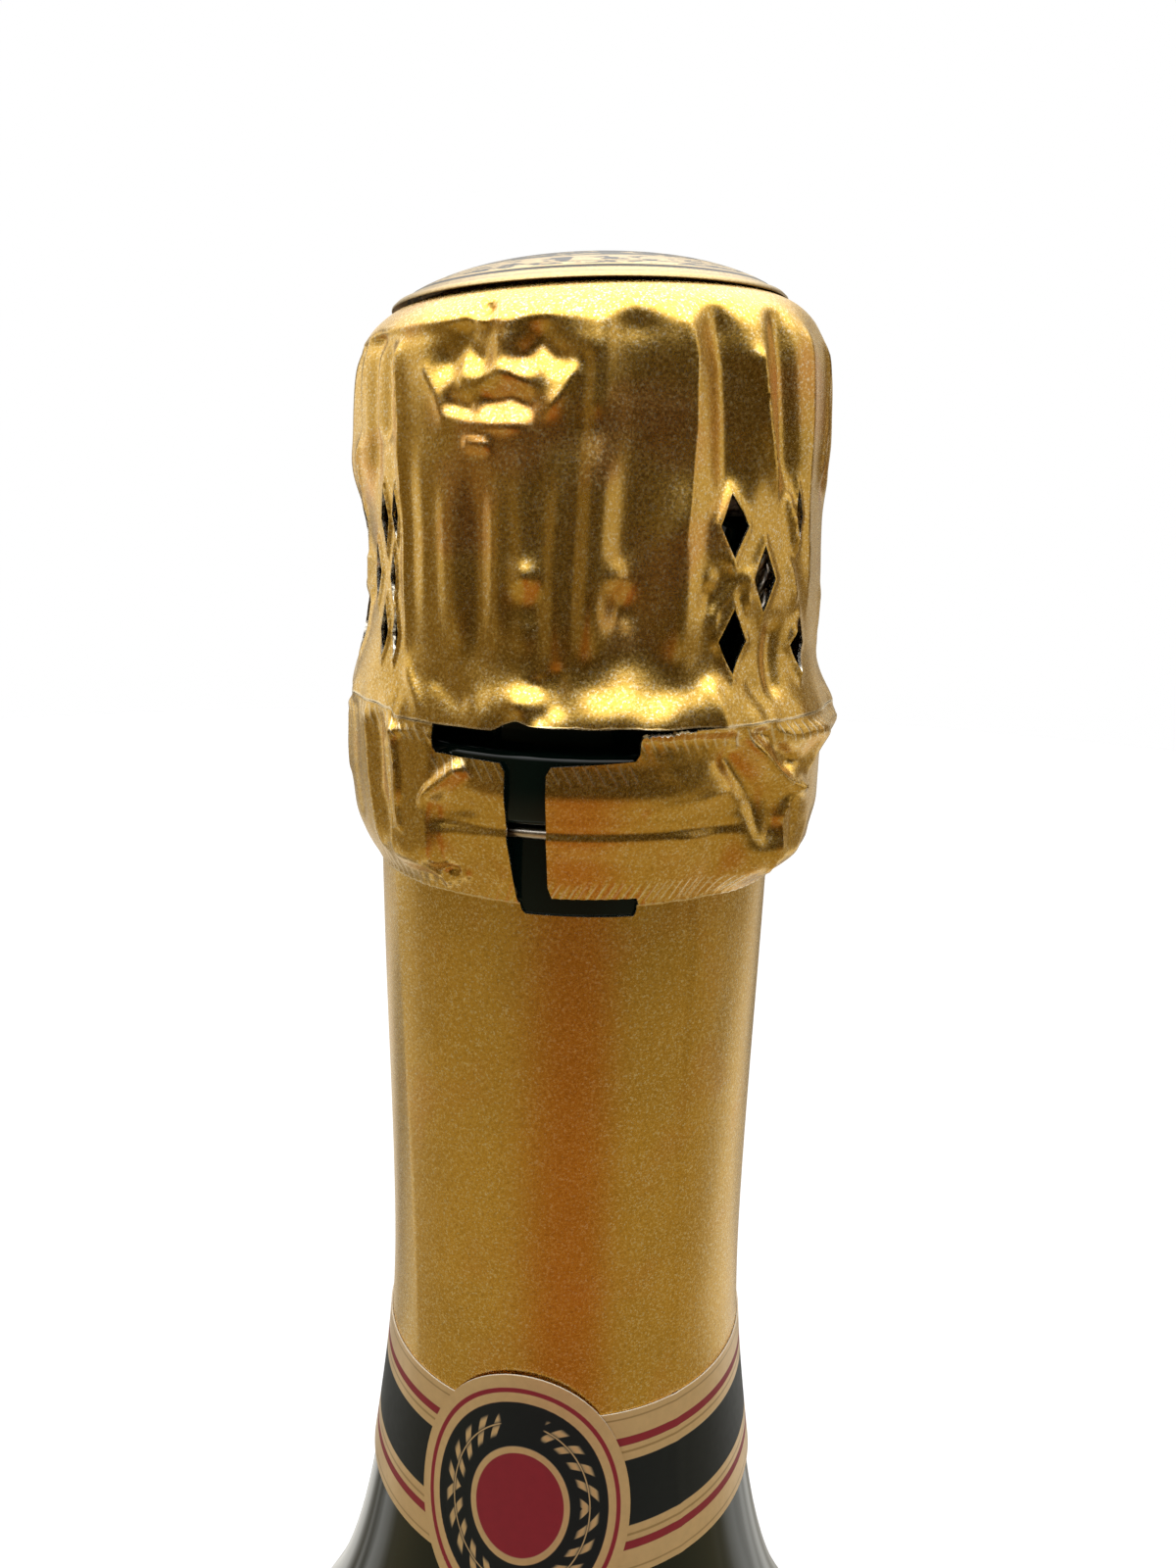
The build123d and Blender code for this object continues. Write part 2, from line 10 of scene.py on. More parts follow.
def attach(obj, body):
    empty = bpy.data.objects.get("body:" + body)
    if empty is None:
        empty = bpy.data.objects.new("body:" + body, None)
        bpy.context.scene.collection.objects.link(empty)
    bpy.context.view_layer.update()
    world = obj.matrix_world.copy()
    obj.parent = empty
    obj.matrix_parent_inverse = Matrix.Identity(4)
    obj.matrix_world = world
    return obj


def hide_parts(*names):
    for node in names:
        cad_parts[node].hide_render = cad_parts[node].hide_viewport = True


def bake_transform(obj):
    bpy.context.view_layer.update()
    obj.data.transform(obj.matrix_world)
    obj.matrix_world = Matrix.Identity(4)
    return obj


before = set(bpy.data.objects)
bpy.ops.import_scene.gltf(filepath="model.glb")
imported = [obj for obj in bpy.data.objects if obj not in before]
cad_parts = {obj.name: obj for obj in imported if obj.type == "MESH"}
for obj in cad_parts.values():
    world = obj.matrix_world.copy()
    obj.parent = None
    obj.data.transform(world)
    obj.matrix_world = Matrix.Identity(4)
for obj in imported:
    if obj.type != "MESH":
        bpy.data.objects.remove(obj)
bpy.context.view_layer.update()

bl_info = {
    "name": "Sparkling wine bottle",
    "version": (1, 0, 0),
    "blender": (4, 5, 0),
    "location": "3D View > Sidebar > Bottle",
    "description": "Dresses the packed bottle in glass, cork, wire, crumpled foil and paper",
    "category": "Object",
}

# Lengths in the tables below are in millimetres and angles in degrees.
# Angles go round the bottle from its front, which faces -Y, towards +X.
MM = 0.001

# Camera, fitted to the photo: its place in metres, its turns in degrees, its lens and film
CAMERA_SPOT = (0.01678, -0.09056, 0.30064)
CAMERA_TURN = 10
CAMERA_DOWN = 13.68
CAMERA_ROLL = 1.56
LENS = 27
FILM_HEIGHT = 36
# Lamps: name, spot in metres, height that it aims at, power
LAMPS = [
    ("lamp_over", (0.0, -0.1, 0.85), 0.29, 0.6),
    ("lamp_left", (-0.7, 0.1, 0.45), 0.27, 0.4),
    ("lamp_right", (0.7, 0.1, 0.4), 0.27, 0.4),
]
LAMP_SIZE = 0.5
FLOOR_RADIUS = 1.6
# Middle of the dim side of the room that the foil mirrors
DARK_TURN = 25

# Glass
BODY_RADIUS = 44.0
BODY_TOP = 118.0
BODY_WALL = 5.5
NECK_WALL = 4.3
RING_BOTTOM = 279.3
RING_TOP = 284.3
RING_RADIUS = 17.2
THROAT_RADIUS = 13.1
LIP_RADIUS = 14.3
LIP_BOTTOM = 294.5
BOTTLE_TOP = 300.0
BORE_RADIUS = 8.8
LIP_ROUND = 1.2
RING_ROUND = 0.7
HEEL_ROUND = 9
INNER_HEEL_ROUND = 6
PUNT_OUTSIDE = [(0, 33), (18.6, 20.79), (30, 0)]
PUNT_INSIDE = [(30, 5.5), (21.6, 24.885), (0, 39.5)]
WINE_TOP = 219.0
WINE_GAP = 0.1
SHOULDER = [
    (44.0, 118.0), (40.6, 155.0), (29.1, 184.0), (22.5, 196.0), (18.2, 209.25),
    (16.10, 222.0), (15.10, 231.0), (14.75, 243.0), (15.15, 279.3),
]

# Cork
CORK_GAP = 0.03
CORK_JOINT = 286
CORK_HEAD_RADIUS = 14.3
CORK_DISC_HEIGHT = 5.5

# Wire cage: the legs' angles, and the twisted key of the belt wire
LEG_ANGLES = [-29, 61, 151, 241]
LEG_RADIUS = 15.9
LEG_HEIGHT = 312.07
FOOT_TOP = 287.8
FOOT_RADIUS = 17.725
BELT_RADIUS = 15.775
BELT_HEIGHT = 278.5
KEY_RADIUS = 17.825
KEY_HEIGHT = 282.5
KEY_ANGLES = (72, 90, 114)
KEY_LOOP = 2.1
TOP_RING_RADIUS = 12.6
TWIST_POINTS = 14

# Foil: the outline on the left and on the right of the photo, (height, left radius, right radius)
HOOD_OUTLINE = [
    (286.3, 17.75, 19.5), (287.2, 17.65, 19.0), (288.6, 17.35, 18.33), (290.4, 17.0, 17.86),
    (292.2, 16.95, 17.94), (294.1, 16.95, 18.03), (295.9, 16.95, 17.97), (297.65, 16.9, 17.86),
    (299.4, 16.95, 17.8), (301.2, 17.05, 17.79), (302.9, 17.17, 17.8), (304.6, 16.98, 17.88),
    (306.3, 16.9, 17.86), (308.0, 16.77, 17.76), (309.7, 16.52, 17.6), (311.0, 16.1, 17.4),
]
# Rolled shoulder of the hood and the edge under the top disc: (way along, radius, height)
HOOD_ROLL = [
    (311.0, 16.95, 311.0), (312.0, 16.55, 311.93), (313.0, 15.95, 312.73), (314.0, 15.2, 313.38),
    (315.0, 14.3, 313.78), (316.0, 13.3, 314.15), (317.0, 12.35, 314.5), (317.8, 11.6, 314.85),
]
STRIP_LEFT = [
    (273.3, 15.65), (275, 16.75), (277, 17.55), (279, 17.75), (281, 17.9),
    (283, 17.85), (285, 17.8), (286.3, 17.7),
]
STRIP_RIGHT = [
    (273.3, 15.9), (275, 18.1), (277, 18.4), (279, 18.47), (281, 18.35),
    (283, 18.95), (285, 20.05), (286.3, 19.45),
]
STRIP_HUG = [
    (273.3, 15.6), (274.5, 16.0), (275.5, 16.34), (276.7, 16.7), (277.1, 16.85),
    (278.2, 17.28), (278.45, 17.38), (279.0, 17.2), (279.2, 17.26), (279.4, 17.44),
    (279.7, 17.45), (280.1, 17.54), (281.1, 17.88), (281.6, 17.93), (282.6, 17.85),
    (283.6, 17.8), (285.0, 17.92), (286.3, 18.18),
]
# Height above which a fold of the hood runs on into its shoulder
SHOULDER_FOLDS = 308
UPPER_TEAR = 286.3
LOWER_TEAR = 273.3
TAB_FOLD = 22.0
TAB_CORNERS = [
    (3.7, 283.0), (3.7, 274.7), (4.7, 273.9), (TAB_FOLD, 273.9), (TAB_FOLD, 284.0), (4.7, 283.55),
]
# Gap between the strip's ends, as convex holes of (angle, height) corners
STRIP_GAPS = [
    [(-22, 287), (-22, 284.3), (-21.3, 283.88), (-6.4, 283.6), (-6.4, 287)],
    [(-6.4, 287), (-6.4, 283.6), (4.7, 283.55), (4.7, 287)],
    [(4.7, 287), (4.7, 283.55), (22.6, 284.02), (23.4, 284.45), (23.5, 284.9), (23.5, 287)],
    [(-6.4, 283.7), (-6.4, 283.58), (-5.35, 283.05), (-5.2, 283.05), (-5.2, 283.7)],
    [(-5.35, 283.8), (-5.35, 277.9), (3.7, 277.9), (3.7, 283.8)],
    [
        (-5.35, 278), (-5.1, 276.4), (-4.65, 274.4), (-4.3, 273.6),
        (-3.4, 272.7), (-2.6, 272.3), (3.7, 272.3), (3.7, 278),
    ],
    [(3.5, 283.9), (3.5, 273.5), (TAB_FOLD, 273.5), (TAB_FOLD, 284.2)],
    [(3, 273.9), (3, 272), (26, 272), (26.8, 272.9), (26.8, 273.4), (26, 273.9)],
    [(23.4, 287), (23.4, 285.65), (30, 285.9), (38, 286.24), (38, 287)],
]
NECK_GAP = [
    (-4.25, 274), (-4.2, 273.5), (-3.4, 272.75), (-2.4, 272.5),
    (25.9, 272.45), (26.6, 272.8), (26.8, 274),
]
FOIL_WALL = 0.2
FOIL_GAP = 0.03
TEAR_GAP = 0.012
# Flat maps: the mean radius that each is measured at, and the height that a foil's starts from
FOIL_RADIUS = 17.4
NECK_RADIUS = 15.2
COLLAR_RADIUS = 16.2
MEDALLION_RADIUS = 16.4
HOOD_MIDDLE = 295
STRIP_MIDDLE = 280
NECK_MIDDLE = 249
PAPER_WALL = 0.12
NECK_FOIL_BOTTOM = 225.0
COLLAR_HEIGHTS = (217.5, 231.5)
MEDALLION = (-0.8, 224.0, 31.0, 11.0)
DISC_RADIUS = 14.4
DISC_TOP = 317.06
CAP_TILT = 0.05
# Beaded rim of the top disc: (radius, rise over the dome)
DISC_RIM = [(13.1, -0.02), (13.5, -0.16), (13.8, -0.1), (14.1, 0.02), (14.35, -0.06), (14.38, -0.16)]
PLATE_TOP = 311.4
LABEL_RADIUS = 44.125


def blur(table, place, soft):
    """The table's value at each place, with its corners softened over a width."""
    places, values = zip(*table)
    taps = np.linspace(-2, 2, 9)
    weights = np.exp(-(taps**2) / 2)
    total = sum(w * np.interp(place + t * soft, places, values) for w, t in zip(weights, taps))
    return total / weights.sum()


def step(low, high, value):
    """0 below low, 1 above high and a smooth change between."""
    t = np.clip((value - low) / (high - low), 0, 1)
    return t * t * (3 - 2 * t)


def turn_from(angle, middle):
    """How far an angle is from a middle angle, from -180 to 180."""
    return (angle - middle + 180) % 360 - 180


def bell(value, width):
    """1 at zero, falling to nothing over a few widths."""
    return np.exp(-((value / width) ** 2))


def spline(points, start, end, count=12):
    """A smooth line through points in a plane, with its direction given at both ends."""
    points = np.array(points, float)
    runs = np.hypot(*np.diff(points, axis=0).T)
    size = len(points)
    grid = np.zeros((size, size))
    want = np.zeros((size, 2))
    grid[0, 0] = grid[-1, -1] = 1
    want[0], want[-1] = start, end
    for i in range(1, size - 1):
        a, b = runs[i - 1], runs[i]
        grid[i, i - 1 : i + 2] = b, 2 * (a + b), a
        before, after = points[i] - points[i - 1], points[i + 1] - points[i]
        want[i] = 3 * (b * before / a + a * after / b)
    slopes = np.linalg.solve(grid, want)
    line = []
    for i, run in enumerate(runs):
        for t in np.linspace(0, 1, count, endpoint=False):
            h = (1 + 2 * t) * (1 - t) ** 2, t * (1 - t) ** 2, t * t * (3 - 2 * t), t * t * (t - 1)
            here = h[0] * points[i] + h[1] * run * slopes[i]
            line.append(tuple(here + h[2] * points[i + 1] + h[3] * run * slopes[i + 1]))
    line.append(tuple(points[-1]))
    return line


GLASS_LINE = spline(SHOULDER, (0, 1), (0, 1))


def glass_radius(height):
    """Radius of the outside of the glass between the body and the ring."""
    radii, heights = zip(*GLASS_LINE)
    return np.interp(height, heights, radii)


def folds(table, angle, height, fade=0.0):
    """Sum of the folds at each point. A fold is its line's points, half width and rise, and True
    where it is sharp.
    Long folds fade at their far end over a share of their length. Those that start at the hood's
    shoulder don't fade there, and the others fade at both ends."""
    total = np.zeros_like(angle)
    along = FOIL_RADIUS * math.pi / 180
    for points, width, rise, *sharp in table:
        nearest = np.full_like(angle, 1e3)
        spot = np.zeros_like(angle)
        way = 0.0
        ends = points[1:] or points
        for (a0, z0), (a1, z1) in zip(points, ends):
            du, dz = (a1 - a0) * along, z1 - z0
            run = math.hypot(du, dz)
            u, v = turn_from(angle, a0) * along, height - z0
            t = np.clip((u * du + v * dz) / max(run * run, 1e-9), 0, 1)
            off = np.hypot(u - t * du, v - t * dz)
            spot = np.where(off < nearest, way + t * run, spot)
            nearest = np.minimum(nearest, off)
            way += run
        part = rise * np.exp(-((nearest / width) ** (1.15 if sharp else 2.0)))
        if fade and way > 4:
            part = part * step(0, fade * way, way - spot)
            if points[0][1] < SHOULDER_FOLDS:
                part = part * step(0, fade * way, spot)
        total += part
    return total


# Folds of the hood's front, in (angle, height) points
HOOD_FOLDS = [
    # Crumpled patch at the upper left, its upper dents, their lower dents and the ridge below
    ([(-20.5, 308.8), (-16.5, 309.7), (-13, 308.9)], 1.15, -0.68),
    ([(-2.5, 308.9), (0.8, 309.7), (4.2, 308.9)], 1.0, -0.66),
    ([(-7, 311), (-7.2, 308.2)], 0.8, 0.3),
    ([(-19.5, 307.5), (-9, 307.8), (2, 307.5)], 0.75, 0.34),
    ([(-19, 306.2), (-15.5, 305.95)], 0.62, -0.4),
    ([(-9.5, 306.3), (-5.5, 306.55), (-2, 306.1)], 0.72, -0.5),
    ([(-21, 305.4), (-14, 304.9), (-7, 304.75), (0.3, 304.9)], 0.42, 0.34, True),
    ([(0.3, 304.9), (5.5, 306.8), (9.5, 309.2)], 0.6, 0.42, True),
    ([(-27, 308.2), (-23, 306.6), (-21, 305.3)], 0.5, 0.25, True),
    ([(-14.5, 303.75), (-11, 303.65)], 0.45, 0.34),
    # Left edge, its hollow and the fold that crosses it
    ([(-37, 309.4), (-34.5, 305), (-33.3, 299), (-33, 293), (-34, 288.4)], 0.55, 0.42, True),
    ([(-33.5, 290.2), (-30, 288.4), (-26.5, 287.3), (-23.5, 286.5)], 0.5, 0.36, True),
    ([(-31, 286.6), (-26.5, 286.1)], 0.9, 0.36),
    ([(-41.5, 309), (-40.5, 303)], 1.1, -0.45),
    ([(-47.5, 309.5), (-46.5, 303.5)], 0.7, 0.3, True),
    ([(-27.8, 304.5), (-26.8, 299), (-26, 289.5)], 0.9, 0.26),
    ([(-20.5, 303.5), (-19.5, 298), (-17.5, 289)], 1.2, 0.4),
    ([(-13.2, 303.5), (-13, 298), (-12.6, 289)], 0.9, -0.34),
    ([(-8.2, 303.5), (-8, 298), (-8, 289.5)], 0.9, 0.24),
    # Flutes and ridges to the right
    ([(9.8, 308.4), (8.9, 303), (8.2, 297), (7.4, 289)], 0.7, -0.34),
    ([(12.5, 311), (12.2, 307.5), (11.5, 304.5)], 0.9, 0.36),
    ([(20.3, 311.5), (22, 308), (22.5, 303.5), (20.8, 298), (19.2, 286.5)], 1.75, -0.72),
    ([(30.8, 311.2), (32.2, 309.3), (32.6, 305), (31.8, 300.5), (30, 296.5)], 0.62, 0.42, True),
    ([(38.3, 311.6), (40.5, 308.5), (41.5, 305.5), (42.5, 302.3), (41.5, 298.8)], 1.4, -0.9),
    ([(48.2, 309.5), (51, 305.5), (55.5, 301.6), (57, 300)], 0.6, 0.55, True),
    ([(55.5, 311.5), (58.5, 305), (61.5, 300)], 1.15, -0.75),
    ([(66.5, 310.8), (67.5, 305), (69, 299), (73, 292)], 0.8, 0.42, True),
    # Long soft ridges below
    ([(6.5, 304), (5, 297), (4.2, 288)], 0.75, 0.34),
    ([(12.4, 306), (12.2, 297), (10.8, 288.5)], 1.25, 0.6),
    ([(-3.6, 304), (-2.2, 298), (-1.6, 289)], 0.8, 0.26),
    ([(30.2, 303), (31, 295), (30, 288)], 1.25, 0.56),
    ([(38, 297), (38.5, 293)], 0.9, -0.3),
    # Small bumps with their hollows
    ([(-1.6, 295.7)], 0.85, 0.36),
    ([(-1.3, 293.7)], 1.15, -0.32),
    ([(17.6, 295.9)], 0.9, 0.42),
    ([(19, 293.7)], 1.2, -0.34),
    ([(37.8, 295.8)], 0.62, 0.36),
    ([(47.5, 296), (48, 294.2)], 0.5, 0.25),
    # Webs between the vents
    ([(38.5, 300.5), (39, 297.8), (46, 295.8), (39.5, 293.8), (39, 290)], 0.45, 0.2, True),
    ([(58.5, 297.6), (62.5, 296.2), (66, 293.2)], 0.5, 0.3, True),
    ([(60.5, 300.8), (63.5, 298)], 0.4, 0.42, True),
    ([(64, 293.4), (66.8, 290), (68, 287.7)], 0.5, 0.36, True),
    ([(57, 292), (56.5, 288.5)], 0.9, -0.5),
    # Lower flare
    ([(-9.5, 286.9), (-4, 287.3)], 1.2, 0.22),
    ([(8.5, 287.2), (16, 286.9), (24, 287.3)], 1.3, 0.22),
    ([(38.5, 288.6), (40.5, 286.5)], 0.7, 0.3),
    ([(-22, 288.6), (-16, 287.7)], 0.7, -0.22),
    ([(1.5, 288.8), (2.5, 287)], 0.6, -0.3),
    ([(30, 287.3), (36, 287.5), (42, 287.9)], 1.3, 0.24),
    ([(-1.8, 287.7), (1.2, 287.8)], 0.8, 0.3),
    ([(5.6, 289.5), (5.8, 287.6)], 0.6, -0.25),
    ([(50, 288.7), (52.5, 287)], 0.7, -0.26),
]

# Small pit in the shoulder
HOOD_PIT = [([(-12.4, 312.1)], 0.6, -0.75), ([(-12.4, 311)], 0.5, 0.25)]

# Vent holes: (angle, height, width, height of the diamond)
VENTS = [
    (43.6, 299.1, 2.3, 4.1),
    (64.2, 299.7, 1.0, 4.0),
    (52.6, 295.7, 2.2, 4.4),
    (44.2, 291.7, 2.3, 4.3),
    (67.2, 291.1, 2.2, 3.9),
    (-42.3, 298.9, 1.25, 3.9),
    (-36.9, 299.2, 1.0, 3.3),
    (-49.0, 295.3, 1.9, 4.0),
    (-38.6, 295.05, 0.9, 3.4),
    (-43.2, 291.4, 1.3, 3.8),
    (-37.6, 291.3, 0.8, 3.5),
    (-63.5, 299.2, 2.3, 4.1),
    (-63.5, 291.3, 2.3, 4.1),
    (169.5, 299.2, 2.4, 4.2),
    (190.5, 299.2, 2.4, 4.2),
    (180.0, 295.2, 2.4, 4.2),
    (169.5, 291.3, 2.4, 4.2),
    (190.5, 291.3, 2.4, 4.2),
]

STRIP_FOLDS = [
    # Left cheek: its ridge, the valley beside it, the fold below and the bright brow of the pocket
    ([(-33.4, 286.2), (-31.6, 282), (-31.6, 279.4), (-30.2, 277.4), (-26, 275.9)], 0.48, 0.5, True),
    ([(-28.8, 284), (-27.6, 281), (-27.8, 278)], 0.85, -0.75),
    ([(-30, 279.6), (-27, 277.4), (-23.5, 276.4)], 0.6, -0.36),
    ([(-31.4, 277.7), (-27, 276.2), (-23.5, 275.5), (-19.5, 275.3)], 0.36, -0.34),
    ([(-26, 280.1), (-22.5, 281.1), (-19, 282.1), (-16, 282.9)], 0.6, 0.6),
    ([(-23, 279.3), (-15, 280.3)], 0.95, -0.32),
    ([(-21.5, 274.6), (-17.5, 275.1)], 0.45, 0.3),
    ([(-25.5, 274.9), (-23.5, 274.2)], 0.4, 0.25),
    ([(-41.5, 285), (-39.5, 281), (-37, 277.5)], 1.0, -0.36),
    ([(-47.5, 286), (-45.5, 281), (-43, 276)], 0.5, 0.24, True),
    ([(-36.5, 283.5), (-38, 280.5)], 0.7, 0.2),
    # Right: the bright diagonal fold, the valley over it and the bulge behind
    (
        [
            (44.2, 286.4), (47, 285.5), (50, 284.5), (54.5, 283.1),
            (59.5, 281.9), (64, 281.3), (70, 280.9),
        ], 0.72, 0.85, True,
    ),
    ([(50.5, 286), (55, 284.7), (61, 283.2)], 0.85, -0.95),
    ([(68, 286.2), (73.5, 284.6), (72.5, 282.7)], 1.1, 0.5),
    ([(45.5, 283.8), (51.5, 281.3), (56, 278.6)], 1.0, -0.62),
    # The curl below it, with its hollow
    (
        [(64.6, 281.2), (60.6, 280.3), (58.9, 279.2), (59.4, 277.8), (59.1, 276), (59.8, 274.9)],
        0.42, 0.6, True,
    ),
    ([(64.6, 279.9), (65.2, 278.2), (63.2, 276.2)], 0.85, -1.0),
    ([(73.5, 280), (75.5, 278), (72, 276)], 0.9, 0.36),
    # Slight waves where the strip hugs the ring
    ([(30, 283.6), (36, 282.4), (42, 282.9)], 1.0, 0.12),
    ([(-14, 277.4), (-9, 275.4)], 0.8, 0.12),
    ([(10, 276.6), (26, 276.2)], 1.0, -0.06),
    ([(36, 278), (42, 276.4)], 0.9, 0.14),
    ([(26.5, 280.4), (38, 280.9), (45, 281.6)], 0.4, 0.1),
]


def random_flutes(seed, first, last, count, top, bottom):
    """Flutes and ridges for the stretch of foil that the photo doesn't show."""
    draw = random.Random(seed)
    made = []
    for i in range(count):
        angle = first + (last - first) * (i + draw.uniform(0.25, 0.75)) / count
        lean = draw.uniform(-4, 4)
        low = bottom + draw.uniform(0, 6)
        line = [(angle, top), (angle + lean * 0.4, (top + low) / 2), (angle + lean, low)]
        if i % 2:
            made.append((line, draw.uniform(0.9, 1.5), -draw.uniform(0.3, 0.7)))
        else:
            made.append((line, draw.uniform(0.5, 0.8), draw.uniform(0.2, 0.45), True))
    return made


HOOD_BACK = random_flutes(7, 78, 312, 40, 310.6, 297) + random_flutes(8, 80, 308, 24, 296, 288)
STRIP_BACK = random_flutes(9, 84, 305, 30, 285.4, 275)


def tear_dip(angle):
    """How far the upper tear line hangs below its level, left of the gap's middle."""
    return 0.45 * step(-34.6, -33.4, angle) * (1 - step(-8, -4.5, angle))


def hood_shape(angle, way):
    """Radius and height of the hood's outside, from the angle and the way up along the foil."""
    heights, left, right = zip(*HOOD_OUTLINE)
    lean = np.cos(np.radians(angle - 100))
    low = blur(list(zip(heights, left)), way, 0.45)
    high = blur(list(zip(heights, right)), way, 0.45)
    radius = (low + high) / 2 + (high - low) / 2 * lean
    ways, rolled, rolled_height = zip(*HOOD_ROLL)
    top = step(310.2, 312, way)
    radius = radius * (1 - top) + blur(list(zip(ways, rolled)), way, 0.35) * top
    height = way * (1 - top) + blur(list(zip(ways, rolled_height)), way, 0.35) * top
    radius -= 0.6 * step(308.5, 314, way) * (1 - lean) / 2
    # The front stands upright up to the shoulder, and the shoulder tilts with the disc
    upright = bell(turn_from(angle, 14), 52) * step(303, 306.5, way) * (1 - step(311.6, 314, way))
    radius += upright * (0.1 + 0.42 * step(306.5, 311.2, way))
    height += top * CAP_TILT * radius * np.sin(np.radians(angle - CAMERA_TURN))
    # Dent round the left group of vents
    radius -= 0.95 * bell(turn_from(angle, -66), 21) * bell(way - 295.2, 5.2)
    # Raised rims of the vents
    for middle, centre, wide, tall in VENTS:
        across = np.abs(turn_from(angle, middle)) * FOIL_RADIUS * math.pi / 180
        radius += 0.16 * bell(across / (wide / 2) + np.abs(way - centre) / (tall / 2) - 1.1, 0.3)
    # The crumples die out in the shoulder
    crumple = folds(HOOD_FOLDS, angle, way, 0.32) + folds(HOOD_BACK, angle, way, 0.3)
    radius += crumple * (1 - step(310.6, 312.9, way)) + folds(HOOD_PIT, angle, way)
    # Wavy lower edge
    edge = 1 - step(286.3, 288.4, way)
    radius += edge * (0.1 * np.sin(np.radians(angle * 17)) + 0.07 * np.sin(np.radians(angle * 29 + 40)))
    rise = 0.3 * bell(turn_from(angle, -2.4), 1.9) - 0.06 * bell(turn_from(angle, 5.2), 3)
    height += edge * (rise - tear_dip(angle) + 0.03 * np.sin(np.radians(angle * 23)))
    return radius, height


def strip_shape(angle, height):
    """Radius and height of the tear strip's outside, which hugs the ring at the front."""
    lean = np.cos(np.radians(angle - 100))
    low, high = blur(STRIP_LEFT, height, 0.5), blur(STRIP_RIGHT, height, 0.5)
    loose = (low + high) / 2 + (high - low) / 2 * lean
    hug = blur(STRIP_HUG, height, 0.18)
    turned = turn_from(angle, 13)
    tight = step(-46, -33, turned) * (1 - step(30, 43, turned))
    radius = loose * (1 - tight) + hug * tight
    # Over the cage's feet and the key
    tall = step(274.5, 277.2, height)
    for leg in LEG_ANGLES:
        cover = 18.9 if 0 < leg < 180 else 18.5
        radius += np.maximum(cover - radius, 0) * bell(turn_from(angle, leg), 8.5) * tall
    radius += folds(STRIP_FOLDS, angle, height) + 0.6 * folds(STRIP_BACK, angle, height)
    for leg in LEG_ANGLES:
        close = 1 - step(5, 8, np.abs(turn_from(angle, leg)))
        radius += np.maximum(18.42 - radius, 0) * close * tall
    key = step(-34, -26, turn_from(angle, 100)) * (1 - step(20, 30, turn_from(angle, 100)))
    radius += np.maximum(18.85 - radius, 0) * key * step(276.5, 279, height)
    # Slanted marks of the perforating wheel along both lines
    near_top = step(UPPER_TEAR - 2.7, UPPER_TEAR - 1.0, height)
    near_foot = 1 - step(LOWER_TEAR + 0.6, LOWER_TEAR + 2.4, height)
    radius += 0.04 * np.sin(angle * 2.24 + height * 3.2) * near_top
    radius += 0.045 * np.sin(angle * 2.24 - height * 3.4) * near_foot
    # Along the upper tear it meets the hood's edge, but for the torn length right of the gap
    shared = step(285.2, 286.25, height)
    hood_edge = hood_shape(angle, np.full_like(height, UPPER_TEAR))[0]
    radius = radius * (1 - shared) + hood_edge * shared
    top = step(283.8, 286.1, height)
    ragged = 0.07 * np.sin(angle * 5.3) + 0.05 * np.sin(angle * 11.7)
    torn = ragged * step(23.4, 24, angle) * (1 - step(34, 38, angle)) * step(285.2, 285.7, height)
    return radius, height - tear_dip(angle) * top + torn


def neck_shape(angle, height):
    """Radius and height of the neck foil, smooth over the glass with a few flat facets."""
    crease = -48 + (268 - height) * 0.2
    lift = 0.16 * np.exp(-np.abs(turn_from(angle, crease)) / 7)
    seam = turn_from(angle, 44 + (268 - height) * 0.04)
    lift += 0.13 * step(-0.5, 0.1, seam) * (1 - step(2, 22, seam))
    lift += 0.24 * bell(turn_from(angle, -80), 42) * step(236, 266, height)
    # Facets: middle angle, width, rise
    for middle, width, rise in ((22, 9, 0.05), (120, 25, 0.04), (150, 6, 0.12), (214, 7, 0.1)):
        lift += rise * bell(turn_from(angle, middle), width)
    above_collar = step(COLLAR_HEIGHTS[1] - 1, COLLAR_HEIGHTS[1] + 6, height)
    return glass_radius(height) + FOIL_GAP + FOIL_WALL + lift * above_collar, height


def collar_shape(angle, height):
    """Radius and height of the paper collar round the foot of the neck."""
    gap = 2 * FOIL_GAP + FOIL_WALL + PAPER_WALL
    seam = bell(turn_from(angle, 46), 1.4)
    return glass_radius(height) + gap + 0.05 * seam, height


def medallion_shape(angle, height):
    """Radius and height of the oval medallion on the collar."""
    middle, centre, wide, tall = MEDALLION
    radius = glass_radius(height) + 0.6
    way = np.hypot(turn_from(angle, middle) / wide, (height - centre) / tall)
    # Embossed rings: way out, width, rise
    for ring, width, rise in ((0.79, 0.025, 0.05), (0.9, 0.025, 0.06), (0.43, 0.035, 0.07)):
        radius += rise * bell(way - ring, width)
    return radius, height


def label_shape(angle, height):
    """Radius and height of a body label."""
    return np.full_like(angle, LABEL_RADIUS), height


def shade(bm, sharp_angle):
    """Smooth shading, with the edges sharper than an angle kept crisp."""
    limit = math.radians(sharp_angle)
    for face in bm.faces:
        face.smooth = True
    for edge in bm.edges:
        edge.smooth = len(edge.link_faces) != 2 or edge.calc_face_angle(0) < limit


def place(bm, name, materials, body, slot, nodes, sharp_angle=40):
    """Turns a bmesh into a named piece that rides on a body and stands for CAD nodes."""
    shade(bm, sharp_angle)
    mesh = bpy.data.meshes.new(name)
    bm.to_mesh(mesh)
    bm.free()
    piece = bpy.data.objects.new(name, mesh)
    bpy.context.scene.collection.objects.link(piece)
    for material in materials:
        mesh.materials.append(material)
    if body:
        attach(piece, body)
    if nodes:
        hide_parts(*nodes)
    return piece


